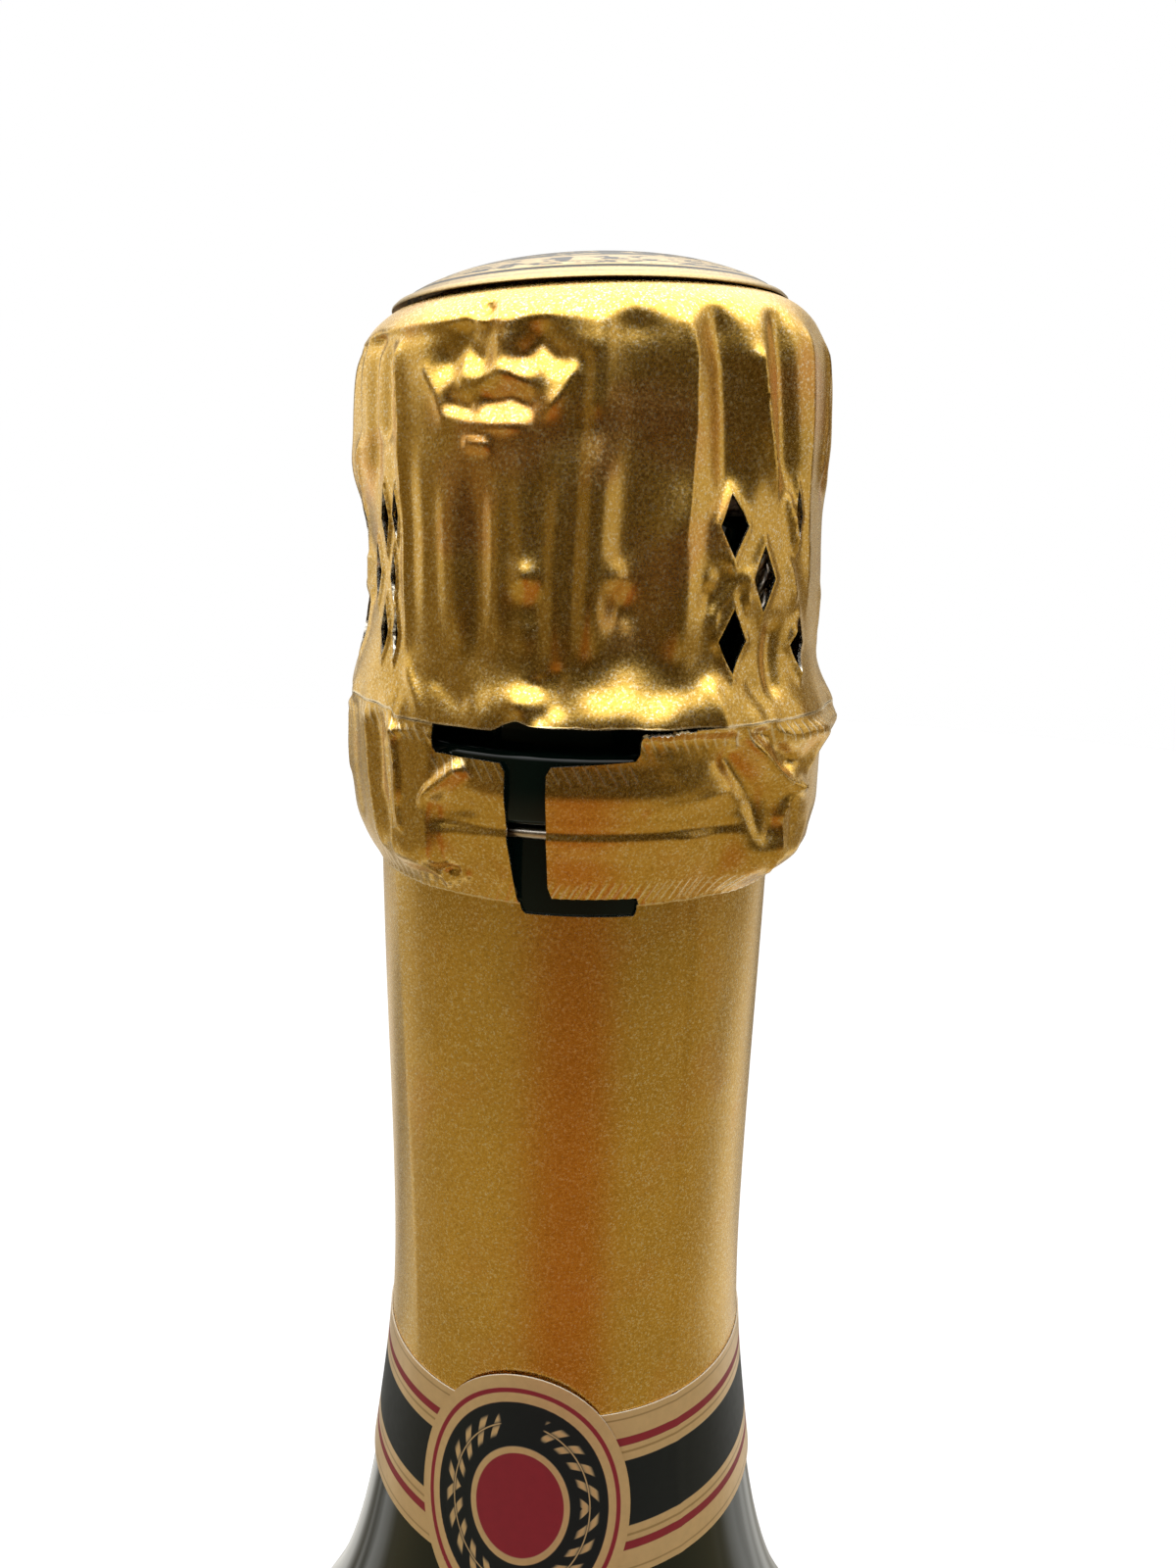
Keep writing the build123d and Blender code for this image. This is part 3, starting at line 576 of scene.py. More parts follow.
def corner(radius, height, round_off, start, end, count):
    """Points of an arc between two angles, which start outwards and turn upwards."""
    turns = np.linspace(start, end, count)
    return [(radius + round_off * math.cos(t), height + round_off * math.sin(t)) for t in turns]


def lathe(outline, steps):
    """A closed round shape spun from the radius and height points of its outline."""
    bm = bmesh.new()
    dots = [bm.verts.new((radius * MM, 0, height * MM)) for radius, height in outline]
    lines = [bm.edges.new(pair) for pair in zip(dots, dots[1:])]
    bmesh.ops.spin(
        bm,
        geom=dots + lines,
        cent=(0, 0, 0),
        axis=(0, 0, 1),
        angle=math.tau,
        steps=steps,
        use_merge=True,
    )
    bmesh.ops.remove_doubles(bm, verts=bm.verts, dist=1e-6)
    bmesh.ops.recalc_face_normals(bm, faces=bm.faces)
    return bm


def flat_sheet(span, levels, columns, rows, crowd=0.0):
    """A flat grid: x is the angle and y the height. Crowding gathers columns at the front."""
    bm = bmesh.new()
    bmesh.ops.create_grid(bm, x_segments=columns, y_segments=rows, size=0.5)
    for v in bm.verts:
        u = v.co.x
        v.co.x = (span[0] + span[1]) / 2 + (span[1] - span[0]) * u - crowd * math.sin(math.tau * u)
        v.co.y = levels[0] + (levels[1] - levels[0]) * (v.co.y + 0.5)
    return bm


def once(items):
    """The items without repeats and in their order, so that each run makes the same mesh."""
    return list(dict.fromkeys(items))


def cut(bm, corners, keep_inside=False):
    """Cuts a convex outline out of a flat sheet, or everything outside it."""
    centre = Vector((sum(x for x, y in corners), sum(y for x, y in corners))) / len(corners)
    low = Vector((min(x for x, y in corners) - 1.5, min(y for x, y in corners) - 0.8))
    high = Vector((max(x for x, y in corners) + 1.5, max(y for x, y in corners) + 0.8))
    for i, (x, y) in enumerate(corners):
        ahead = corners[(i + 1) % len(corners)]
        faces = []
        for f in bm.faces:
            c = f.calc_center_median()
            if low.x < c.x < high.x and low.y < c.y < high.y:
                faces.append(f)
        edges = once(e for f in faces for e in f.edges)
        dots = once(v for f in faces for v in f.verts)
        normal = Vector((ahead[1] - y, x - ahead[0], 0))
        bmesh.ops.bisect_plane(
            bm, geom=faces + edges + dots, dist=1e-5, plane_co=(x, y, 0), plane_no=normal.normalized()
        )
    out = []
    for f in bm.faces:
        c = f.calc_center_median()
        inside = True
        for i, (x, y) in enumerate(corners):
            ahead = corners[(i + 1) % len(corners)]
            side = (ahead[0] - x) * (c.y - y) - (ahead[1] - y) * (c.x - x)
            mid = (ahead[0] - x) * (centre.y - y) - (ahead[1] - y) * (centre.x - x)
            inside = inside and side * mid > 0
        if inside != keep_inside:
            out.append(f)
    bmesh.ops.delete(bm, geom=out, context="FACES")


def diamond(angle, height, wide, tall):
    """Corners of a diamond hole, with its width turned into an angle."""
    half, rise = math.degrees(wide / 2 / FOIL_RADIUS), tall / 2
    left, right = (angle - half, height), (angle + half, height)
    return [left, (angle, height - rise), right, (angle, height + rise)]


def roll(bm, shape, wall, mean_radius, middle_height):
    """Rolls a flat sheet round the bottle, keeps its flat map in millimetres and gives it a wall."""
    flat_map = bm.loops.layers.uv.new("flat")
    along = mean_radius * math.pi / 180
    for face in bm.faces:
        for loop in face.loops:
            loop[flat_map].uv = (loop.vert.co.x * along, loop.vert.co.y - middle_height)
    flat = np.array([v.co[:2] for v in bm.verts])
    radius, height = shape(flat[:, 0], flat[:, 1])
    turn = np.radians(flat[:, 0])
    spots = np.stack([radius * np.sin(turn), -radius * np.cos(turn), height], axis=1) * MM
    for v, spot in zip(bm.verts, spots):
        v.co = spot
    bmesh.ops.remove_doubles(bm, verts=bm.verts, dist=1e-7)
    bmesh.ops.recalc_face_normals(bm, faces=bm.faces)
    bm.faces.ensure_lookup_table()
    outward = sum(f.normal.dot(Vector((*f.calc_center_median().xy, 0))) for f in bm.faces)
    if outward < 0:
        bmesh.ops.reverse_faces(bm, faces=bm.faces)
    skin = set(bm.verts)
    bmesh.ops.solidify(bm, geom=bm.faces[:], thickness=wall * MM)
    for face in bm.faces:
        face.material_index = int(0 < sum(v in skin for v in face.verts) < len(face.verts))


def turn_round(bm, angle):
    """Turns a piece round the bottle's axis."""
    turn = Matrix.Rotation(math.radians(angle), 3, "Z")
    bmesh.ops.rotate(bm, verts=bm.verts, cent=(0, 0, 0), matrix=turn)


def rounded(points, reach, pieces=5):
    """A path with its corners rounded off over a reach."""
    points = [Vector(p) for p in points]
    path = [points[0]]
    for before, here, after in zip(points, points[1:], points[2:]):
        back, ahead = before - here, after - here
        near = here + back.normalized() * min(reach, back.length * 0.45)
        far = here + ahead.normalized() * min(reach, ahead.length * 0.45)
        for i in range(pieces + 1):
            t = i / pieces
            path.append(near * (1 - t) ** 2 + here * 2 * t * (1 - t) + far * t * t)
    path.append(points[-1])
    return path


def spread(path, gap):
    """The path again, with points an even gap apart."""
    made = [path[0]]
    left = gap
    for a, b in zip(path, path[1:]):
        run = (b - a).length
        way = left
        while way < run:
            made.append(a.lerp(b, way / run))
            way += gap
        left = way - run
    made.append(path[-1])
    return made


def tangents(path):
    """Direction of the path at each of its points."""
    ends = [path[0]] + list(path) + [path[-1]]
    return [(b - a).normalized() for a, b in zip(ends, ends[2:])]


def draw_wire(bm, path, thickness, sides=8):
    """Adds a round wire along a path by extruding a ring of edges from point to point."""
    ring = bmesh.ops.create_circle(bm, segments=sides, radius=thickness / 2 * MM)["verts"]
    edges = once(e for v in ring for e in v.link_edges)
    ahead, here = Vector((0, 0, 1)), Vector((0, 0, 0))
    bmesh.ops.edgeloop_fill(bm, edges=edges)
    for i, (point, direction) in enumerate(zip(path, tangents(path))):
        if i:
            grown = bmesh.ops.extrude_edge_only(bm, edges=edges)["geom"]
            ring = [g for g in grown if isinstance(g, bmesh.types.BMVert)]
            fresh = set(ring)
            edges = [g for g in grown if isinstance(g, bmesh.types.BMEdge) and set(g.verts) <= fresh]
        turn = ahead.rotation_difference(direction).to_matrix()
        bmesh.ops.rotate(bm, verts=ring, cent=here, matrix=turn)
        bmesh.ops.translate(bm, verts=ring, vec=point * MM - here)
        ahead, here = direction, point * MM
    bmesh.ops.edgeloop_fill(bm, edges=edges)


def twist(bm, path, thickness, pitch):
    """Adds two wires twisted round a path."""
    points = spread(path, pitch / TWIST_POINTS)
    directions = tangents(points)
    for start in (0, math.pi):
        side = directions[0].orthogonal().normalized()
        strand = []
        for i, (point, direction) in enumerate(zip(points, directions)):
            side = (side - direction * side.dot(direction)).normalized()
            turned = Matrix.Rotation(start + math.tau * i / TWIST_POINTS, 3, direction) @ side
            strand.append(point + turned * thickness / 2)
        draw_wire(bm, strand, thickness)


def at(angle, side, radius, height):
    """A point at an angle and radius, moved sideways, at a height."""
    a = math.radians(angle)
    x = radius * math.sin(a) + side * math.cos(a)
    y = side * math.sin(a) - radius * math.cos(a)
    return Vector((x, y, height))


def hoop(bm, radius, height, thickness):
    """Adds a round ring of wire."""
    ring = bmesh.ops.create_circle(bm, segments=12, radius=thickness / 2 * MM)["verts"]
    bmesh.ops.rotate(bm, verts=ring, cent=(0, 0, 0), matrix=Matrix.Rotation(math.pi / 2, 3, "X"))
    bmesh.ops.translate(bm, verts=ring, vec=(radius * MM, 0, height * MM))
    edges = once(e for v in ring for e in v.link_edges)
    bmesh.ops.spin(
        bm,
        geom=ring + edges,
        cent=(0, 0, 0),
        axis=(0, 0, 1),
        angle=math.tau,
        steps=96,
        use_merge=True,
    )


def disc_height(radius):
    """Height of the outside of the domed top disc."""
    return DISC_TOP - 3 * (radius / DISC_RADIUS) ** 3


class Flow:
    """One socket of a material's nodes. Sums and products of flows add their Math nodes."""

    def __init__(self, tree, socket):
        self.tree = tree
        self.socket = socket

    def node(self, kind, settings=None, inputs=None, output=0):
        """A node of a kind, with its settings made first and its sockets then set or linked."""
        made = self.tree.nodes.new(kind)
        for name, value in (settings or {}).items():
            if name == "stops":
                while len(made.color_ramp.elements) < len(value):
                    made.color_ramp.elements.new(0.5)
                for element, (spot, colour) in zip(made.color_ramp.elements, value):
                    element.position = spot
                    element.color = (*colour, 1)
            else:
                setattr(made, name, value)
        for name, value in (inputs or {}).items():
            if isinstance(value, Flow):
                self.tree.links.new(value.socket, made.inputs[name])
            else:
                made.inputs[name].default_value = value
        return Flow(self.tree, made.outputs[output])

    def maths(self, operation, *terms):
        return self.node("ShaderNodeMath", {"operation": operation}, dict(enumerate((self, *terms))))

    def __add__(self, other):
        return self.maths("ADD", other)

    def __mul__(self, other):
        return self.maths("MULTIPLY", other)

    def __sub__(self, other):
        return self.maths("SUBTRACT", other)

    def __truediv__(self, other):
        return self.maths("DIVIDE", other)

    def __rsub__(self, other):
        return self * -1 + other

    __radd__ = __add__
    __rmul__ = __mul__

    def between(self, low, high):
        """0 below low, 1 above high and smooth between."""
        settings = {"interpolation_type": "SMOOTHSTEP"}
        inputs = {"Value": self, "From Min": low, "From Max": high}
        return self.node("ShaderNodeMapRange", settings, inputs)

    def band(self, low, high, soft):
        """1 between two values, with soft edges."""
        return self.between(low - soft, low + soft) * (1 - self.between(high - soft, high + soft))

    def mix(self, first, second, blend="MIX"):
        """Mixes two colours by this flow."""
        settings = {"data_type": "RGBA", "blend_type": blend}
        sides = [c if isinstance(c, Flow) else (*c, 1) for c in (first, second)]
        return self.node("ShaderNodeMix", settings, {0: self, 6: sides[0], 7: sides[1]}, 2)

    def noise(self, scale, detail=2, roughness=0.5):
        """Noise over this flow's vector."""
        inputs = {"Vector": self, "Scale": scale, "Detail": detail, "Roughness": roughness}
        return self.node("ShaderNodeTexNoise", None, inputs)

    def cells(self, scale, output="Distance", feature="F1"):
        """Cells over this flow's vector."""
        inputs = {"Vector": self, "Scale": scale}
        return self.node("ShaderNodeTexVoronoi", {"feature": feature}, inputs, output)

    def parts(self):
        """The three numbers of this flow's vector."""
        first = self.node("ShaderNodeSeparateXYZ", None, {0: self})
        outputs = first.socket.node.outputs
        return [Flow(self.tree, outputs[i]) for i in range(3)]


def surface(name, constants, paint):
    """A material whose changing sockets come from a function of its object and flat coordinates."""
    material = bpy.data.materials.new(name)
    material.use_nodes = True
    tree = material.node_tree
    shader = tree.nodes["Principled BSDF"]
    for socket, value in constants.items():
        shader.inputs[socket].default_value = value
    start = Flow(tree, tree.nodes.new("ShaderNodeTexCoord").outputs["Object"])
    flat = Flow(tree, start.socket.node.outputs["UV"])
    for socket, flow in paint(start, flat).items():
        tree.links.new(flow.socket, shader.inputs[socket])
    return material


def bump(height, strength, distance):
    """A normal raised by a height."""
    return height.node(
        "ShaderNodeBump", None, {"Height": height, "Strength": strength, "Distance": distance}
    )


def strip_marks(flat):
    """Slanted cuts of the perforating wheel along both edges of the tear strip."""
    u, v, _ = flat.parts()
    above = 6.2 - u.band(-6.75, 7.1, 0.05) * 2.3 - v
    down = (((u + v * 0.55) / 0.74).maths("FRACT") - 0.5).maths("ABSOLUTE")
    upper = (1 - down.between(0.05, 0.16)) * above.band(0.2, 1.5, 0.12)
    below = v + 6.64
    up = (((u - v * 0.6) / 0.67).maths("FRACT") - 0.5).maths("ABSOLUTE")
    lower = (1 - up.between(0.05, 0.18)) * below.band(0.3, 1.7, 0.15) * u.between(0.8, 1.4)
    return upper + lower


def foil(name, gold, reflection_amount=1.0, edges=(), marks=None):
    """Embossed gold foil: fine grain with painted sparkle, painted glints, painted orange reflection
    patches, bright cut edges and marks.
    """

    def paint(spot, flat):
        grain = spot.noise(5200, 2, 0.65)
        painted_glint = spot.cells(9000, "Color").parts()[0]
        cloud = spot.noise(90, 3, 0.6)
        # Orange patches: painted reflection, as strong as the piece's reflection amount.
        orange_reflection = spot.noise(150, 2, 0.5).between(0.54, 0.72) * reflection_amount
        colour = cloud.between(0.3, 0.7).mix([c * 0.88 for c in gold], gold)
        colour = (orange_reflection * 0.6).mix(colour, (0.75, 0.33, 0.1))
        colour = ((1 - grain.between(0.3, 0.5)) * 0.45).mix(colour, [c * 0.45 for c in gold])
        # The grain's bright specks and the glint cells are painted sparkle: highlights of tilted
        # facets.
        colour = (grain.between(0.54, 0.66) * 0.6).mix(colour, (1.0, 0.8, 0.4))
        colour = (painted_glint.between(0.88, 0.95) * 0.55).mix(colour, (1.0, 0.9, 0.66))
        rough = 0.16 + grain * 0.16 + cloud * 0.06
        lift = grain + painted_glint * 0.4
        lines = [marks(flat)] if marks else []
        height = flat.parts()[1]
        for edge in edges:
            off = (height - edge + (spot.noise(900, 2, 0.5) - 0.5) * 0.3).maths("ABSOLUTE")
            lines.append(1 - off.between(0.05, 0.14))
        for line in lines:
            colour = (line * 0.5).mix(colour, (1.0, 0.93, 0.74))
            lift = lift + line * 2
        return {"Base Color": colour, "Roughness": rough, "Normal": bump(lift, 0.28, 0.00002)}

    return surface(name, {"Metallic": 1.0}, paint)


def cut_edge():
    """Bright bare metal of the foil's cut edges, made once."""

    def paint(spot, flat):
        grain = spot.noise(5000, 2, 0.5)
        colour = grain.mix((0.8, 0.76, 0.66), (0.95, 0.93, 0.88))
        return {"Base Color": colour, "Roughness": 0.2 + grain * 0.15}

    return bpy.data.materials.get("foil_cut_edge") or surface("foil_cut_edge", {"Metallic": 1.0}, paint)


def paper_edge():
    """White core of the labels' cut edges, made once."""

    def paint(spot, flat):
        fibre = spot.noise(4000, 2, 0.6)
        colour = fibre.mix((0.62, 0.58, 0.5), (0.84, 0.81, 0.74))
        return {"Base Color": colour, "Roughness": 0.7 + fibre * 0.1}

    return bpy.data.materials.get("paper_cut_edge") or surface("paper_cut_edge", {}, paint)


def paint_glass(spot, flat):
    """Faint streaks in the dark glass."""
    streak = spot.noise(40, 2, 0.5)
    colour = streak.mix((0.001, 0.0035, 0.0025), (0.002, 0.006, 0.004))
    return {"Base Color": colour, "Roughness": 0.03 + streak * 0.03}


def paint_wine(spot, flat):
    """Pale wine with a faint drift of colour."""
    drift = spot.noise(25, 1, 0.5)
    return {"Base Color": drift.mix((0.72, 0.6, 0.26), (0.8, 0.68, 0.36))}


def paint_cork(spot, flat):
    """Pressed cork: grains, dark joints and pits."""
    grains = spot.cells(700, "Color").parts()[0]
    joints = spot.cells(700, "Distance", "DISTANCE_TO_EDGE")
    pits = spot.noise(1500, 3, 0.6).between(0.62, 0.72)
    colour = grains.mix((0.52, 0.33, 0.18), (0.74, 0.55, 0.36))
    colour = (1 - joints.between(0.0, 0.05)).mix(colour, (0.36, 0.22, 0.12))
    colour = pits.mix(colour, (0.16, 0.09, 0.05))
    lift = joints.between(0.0, 0.12) - pits
    return {"Base Color": colour, "Roughness": 0.75 + grains * 0.15, "Normal": bump(lift, 0.6, 0.00015)}


def paint_whole_cork(spot, flat):
    """Whole cork: growth lines across and dark pores."""
    x = spot.parts()[0]
    wave = (x * 1800 + spot.noise(220, 2, 0.6) * 9).maths("SINE")
    pores = spot.noise(620, 3, 0.65).between(0.6, 0.68)
    colour = wave.between(-1, 1).mix((0.62, 0.43, 0.26), (0.76, 0.58, 0.4))
    colour = pores.mix(colour, (0.2, 0.11, 0.06))
    lift = bump(1 - pores, 0.5, 0.00012)
    return {"Base Color": colour, "Roughness": 0.72 + wave * 0.05, "Normal": lift}


def paint_plate(spot, flat):
    """Lacquered cap plate: a gold ground with rings and light scuffs."""
    x, y, _ = spot.parts()
    far = (x * x + y * y).maths("SQRT") / MM
    scuff = spot.noise(900, 4, 0.7).between(0.62, 0.75)
    ring = far.band(8.9, 9.4, 0.04) + far.band(10.0, 10.25, 0.04)
    colour = ring.mix((0.62, 0.45, 0.17), (0.2, 0.05, 0.03))
    colour = (scuff * 0.3).mix(colour, (0.75, 0.68, 0.55))
    return {"Base Color": colour, "Roughness": 0.22 + scuff * 0.25}


def paint_wire(spot, flat):
    """Drawn wire with a brushed skin, darker scratches and coppery patches of painted reflection of the
    gold foil.
    """
    draw = spot.noise(2600, 3, 0.6)
    patch = spot.noise(160, 2, 0.5)
    colour = draw.mix((0.5, 0.44, 0.37), (0.85, 0.79, 0.7))
    # Coppery patches: painted reflection of the gold foil round the wire.
    colour = patch.between(0.5, 0.75).mix(colour, (0.72, 0.44, 0.26))
    return {"Base Color": colour, "Roughness": 0.2 + draw * 0.2, "Normal": bump(draw, 0.2, 0.00003)}


def paint_disc(spot, flat):
    """Gold of the top disc, with dark printed rings, broken marks between them, and broken dark lines
    over the dome's slope that are painted shade.
    """
    x, y, _ = spot.parts()
    far = (x * x + y * y).maths("SQRT") / MM
    turn = y.maths("ARCTAN2", x)
    grain = spot.noise(4200, 2, 0.6)
    ringed = spot.node("ShaderNodeCombineXYZ", None, {0: turn * 4.2, 1: far * 1.1, 2: 0.0})
    broken = ringed.noise(1.6, 3, 0.6)
    lines = far.band(13.0, 13.25, 0.04) + far.band(12.3, 12.4, 0.03) + far.band(3.9, 4.2, 0.04)
    # Broken dark lines from 7.2 to 10.9 mm: painted shade where the dome's slope is seen at a grazing
    # angle.
    lines = lines + far.band(7.2, 10.9, 0.1) * broken.between(0.38, 0.44)
    marks = broken.between(0.5, 0.55) * far.band(11.3, 12.8, 0.1)
    colour = grain.mix((0.3, 0.2, 0.08), (0.62, 0.47, 0.24))
    colour = (lines + marks).maths("MINIMUM", 1).mix(colour, (0.02, 0.016, 0.012))
    lift = bump(grain - lines, 0.4, 0.00004)
    return {"Base Color": colour, "Roughness": 0.24 + grain * 0.14, "Normal": lift}


GOLD_INK = (0.66, 0.45, 0.22)
RED_INK = (0.21, 0.01, 0.016)
BLACK_INK = (0.006, 0.009, 0.01)
PAPER_SHEEN = {"Specular IOR Level": 0.2}


def printed(colour, gold, fibre, lift, dull=0.42, strength=0.4):
    """Sockets of a printed paper, whose gold ink shines and stands up a little."""
    return {
        "Base Color": colour,
        "Metallic": gold * 0.6,
        "Roughness": dull - gold * 0.12 + fibre * 0.1,
        "Normal": bump(lift, strength, 0.00005),
    }


def paint_collar(spot, flat):
    """Black paper with a gold and red border along both edges."""
    edge = 7.0 - flat.parts()[1].maths("ABSOLUTE")
    fibre = spot.noise(1400, 3, 0.6)
    red = edge.band(2.2, 2.9, 0.05)
    gold = (1 - edge.between(4.15, 4.25)) * (1 - red)
    colour = gold.mix(BLACK_INK, GOLD_INK)
    colour = red.mix(colour, RED_INK)
    colour = (fibre * 0.2).mix(colour, (0.0, 0.0, 0.0))
    line = edge.band(3.35, 3.55, 0.04) + edge.band(0.5, 0.65, 0.04)
    colour = (line * 0.6).mix(colour, (0.22, 0.13, 0.04))
    return printed(colour, gold, fibre, fibre * 0.25 + gold + red * 0.5)


def paint_medallion(spot, flat):
    """Oval with gold, red and black rings, a bead ring and a bare red middle."""
    u, v, _ = flat.parts()
    across, up = u / 8.9, v / 11.0
    way = (across * across + up * up).maths("SQRT")
    turn = up.maths("ARCTAN2", across)
    fibre = spot.noise(1400, 3, 0.6)
    inside = way.maths("LESS_THAN", 0.45)
    oval = way.band(0.4, 0.45, 0.006)
    rings = 1 - way.between(0.79, 0.8)
    red = way.band(0.865, 0.905, 0.005)
    slant = (turn.maths("ABSOLUTE") * 22 + way * 34).maths("SINE")
    sides = (across.maths("ABSOLUTE") / way).between(0.3, 0.36)
    bead = (way.band(0.555, 0.61, 0.02) + way.band(0.645, 0.7, 0.02)) * slant.between(0.0, 0.5) * sides
    small = way.band(0.623, 0.632, 0.004) * sides
    black = rings * (1 - inside)
    gold = (1 - black) * (1 - inside) * (1 - red)
    gold = gold.maths("MAXIMUM", oval).maths("MAXIMUM", bead).maths("MAXIMUM", small)
    colour = black.mix(RED_INK, BLACK_INK)
    colour = gold.mix(colour, GOLD_INK)
    colour = (fibre * 0.2).mix(colour, (0.0, 0.0, 0.0))
    return printed(colour, gold, fibre, fibre * 0.25 + gold)


def label_paint(half_width, half_height):
    """Paint of a body label: a dark ground in a gold and red frame, with a bare panel."""

    def paint(spot, flat):
        u, v, _ = flat.parts()
        side = half_width - u.maths("ABSOLUTE")
        end = half_height - v.maths("ABSOLUTE")
        edge = side.maths("MINIMUM", end)
        fibre = spot.noise(900, 3, 0.6)
        red = edge.band(3.6, 4.6, 0.06)
        gold = (1 - edge.between(6.2, 6.35)) * (1 - red)
        across, up = u / (half_width * 0.5), v / (half_height * 0.42)
        way = (across * across + up * up).maths("SQRT")
        gold = gold.maths("MAXIMUM", way.band(0.95, 1.0, 0.006))
        gold = gold.maths("MAXIMUM", way.band(1.05, 1.065, 0.004))
        panel = way.maths("LESS_THAN", 0.95)
        colour = panel.mix(BLACK_INK, (0.62, 0.56, 0.42))
        colour = gold.mix(colour, GOLD_INK)
        colour = red.mix(colour, RED_INK)
        colour = (fibre * 0.15).mix(colour, (0.0, 0.0, 0.0))
        return printed(colour, gold, fibre, fibre * 0.3 + gold, 0.45, 0.35)

    return paint


def ray_kinds(tree):
    """1 for what the camera sees straight or through glass, and 1 for what gloss mirrors."""
    outputs = tree.nodes.new("ShaderNodeLightPath").outputs
    straight, through, glossy = (
        Flow(tree, outputs[kind]) for kind in ("Is Camera Ray", "Is Transmission Ray", "Is Glossy Ray")
    )
    return straight + through, glossy


def paint_floor(spot, flat):
    """Pale matt floor with a faint mottle."""
    mottle = spot.noise(6, 2, 0.5)
    seen = ray_kinds(spot.tree)[0]
    return {
        "Base Color": mottle.mix((0.86, 0.86, 0.86), (0.9, 0.9, 0.9)),
        "Roughness": 0.6 + mottle * 0.1,
        "Emission Color": (seen * 0.25).mix((0.0, 0.0, 0.0), (1.0, 1.0, 1.0)),
    }


def count_of(name, description, default, least):
    """A whole number of the panel."""
    return bpy.props.IntProperty(name=name, description=description, default=default, min=least)


def thickness_of(name, description, default):
    """A thickness of the panel, in metres."""
    return bpy.props.FloatProperty(
        name=name, description=description, default=default, subtype="DISTANCE", unit="LENGTH"
    )


def colour_of(name, description, default):
    """A colour of the panel."""
    return bpy.props.FloatVectorProperty(
        name=name, description=description, default=default, subtype="COLOR", size=3
    )


class BottleSizes(bpy.types.PropertyGroup):
    """Sizes that the pieces are made to."""

    round_steps: count_of("Round steps", "Steps round the glass", 160, 48)
    foil_columns: count_of("Foil columns", "Cells round the crumpled foil", 400, 100)
    wire_thickness: thickness_of("Wire thickness", "Thickness of the cage wire", 0.00095)
    belt_thickness: thickness_of("Belt thickness", "Thickness of the belt wire", 0.00085)


class BottleColours(bpy.types.PropertyGroup):
    """Colours that the foil and the room are made in."""

    foil_gold: colour_of("Foil gold", "Colour of the foil", (0.78, 0.47, 0.09))
    room_dark: colour_of(
        "Dark of the room",
        "Colour that the foil mirrors from behind the camera",
        (0.056, 0.04, 0.02),
    )
    room_low: colour_of(
        "Low front of the room",
        "Colour that the foil mirrors from low in front",
        (0.38, 0.18, 0.065),
    )


class BOTTLE_OT_glass(bpy.types.Operator):
    """Makes the glass bottle and the wine in it"""

    bl_idname = "bottle.glass"
    bl_label = "Glass and wine"

    def execute(self, context):
        steps = context.scene.bottle_sizes.round_steps
        inner = []
        for radius, height in SHOULDER[:-1]:
            rise = (height - BODY_TOP) / (SHOULDER[-2][1] - BODY_TOP)
            inner.append((radius - BODY_WALL - (NECK_WALL - BODY_WALL) * rise, height))
        inner_line = spline(inner, (0, 1), (0, 1))
        heel = corner(BODY_RADIUS - HEEL_ROUND, HEEL_ROUND, HEEL_ROUND, -math.pi / 2, 0, 10)
        bead = corner(RING_RADIUS - RING_ROUND, RING_TOP - RING_ROUND, RING_ROUND, 0, math.pi / 2, 5)
        foot = [(x, RING_BOTTOM + RING_TOP - z) for x, z in reversed(bead)]
        lip = corner(LIP_RADIUS - LIP_ROUND, BOTTLE_TOP - LIP_ROUND, LIP_ROUND, 0, math.pi / 2, 6)
        punt_out = spline(PUNT_OUTSIDE, (1, 0), (0.37, -0.93))
        punt_in = spline(PUNT_INSIDE, (-0.37, 0.93), (-1, 0))
        inside = BODY_RADIUS - BODY_WALL
        floor = BODY_WALL + INNER_HEEL_ROUND
        inner_heel = corner(inside - INNER_HEEL_ROUND, floor, INNER_HEEL_ROUND, 0, -math.pi / 2, 8)
        outline = punt_out + heel + GLASS_LINE + foot + bead
        outline += [(THROAT_RADIUS, RING_TOP), (THROAT_RADIUS, LIP_BOTTOM)]
        outline += [(LIP_RADIUS, LIP_BOTTOM)] + lip
        outline += [(9.4, BOTTLE_TOP), (BORE_RADIUS, 299.4), (BORE_RADIUS, 271), (10.45, 243)]
        outline += inner_line[::-1] + inner_heel + punt_in
        bm = lathe(outline, steps)
        constants = {"Transmission Weight": 0.05, "IOR": 1.52, "Specular IOR Level": 0.25}
        glass = surface("dark_glass", constants, paint_glass)
        place(bm, "bottle_glass", [glass], "bottle", "dark_glass", ["glass_bottle"])
        wine_line = [(x - WINE_GAP, z) for x, z in inner_line if z < WINE_TOP]
        outline = [(0, PUNT_INSIDE[-1][1] + WINE_GAP)]
        outline += [(x + WINE_GAP, z + WINE_GAP) for x, z in punt_in[-2::-1]]
        outline += [(x - WINE_GAP, z + WINE_GAP) for x, z in inner_heel[::-1]] + wine_line
        top = np.interp(WINE_TOP, [z for x, z in inner_line], [x for x, z in inner_line]) - WINE_GAP
        outline += [(top, WINE_TOP), (top - 0.6, WINE_TOP - 0.15), (0, WINE_TOP - 0.15)]
        constants = {"Transmission Weight": 0.6, "IOR": 1.34, "Roughness": 0.02}
        drink = surface("wine", constants, paint_wine)
        place(lathe(outline, 96), "wine_fill", [drink], "bottle", "wine", ["wine"])
        return {"FINISHED"}


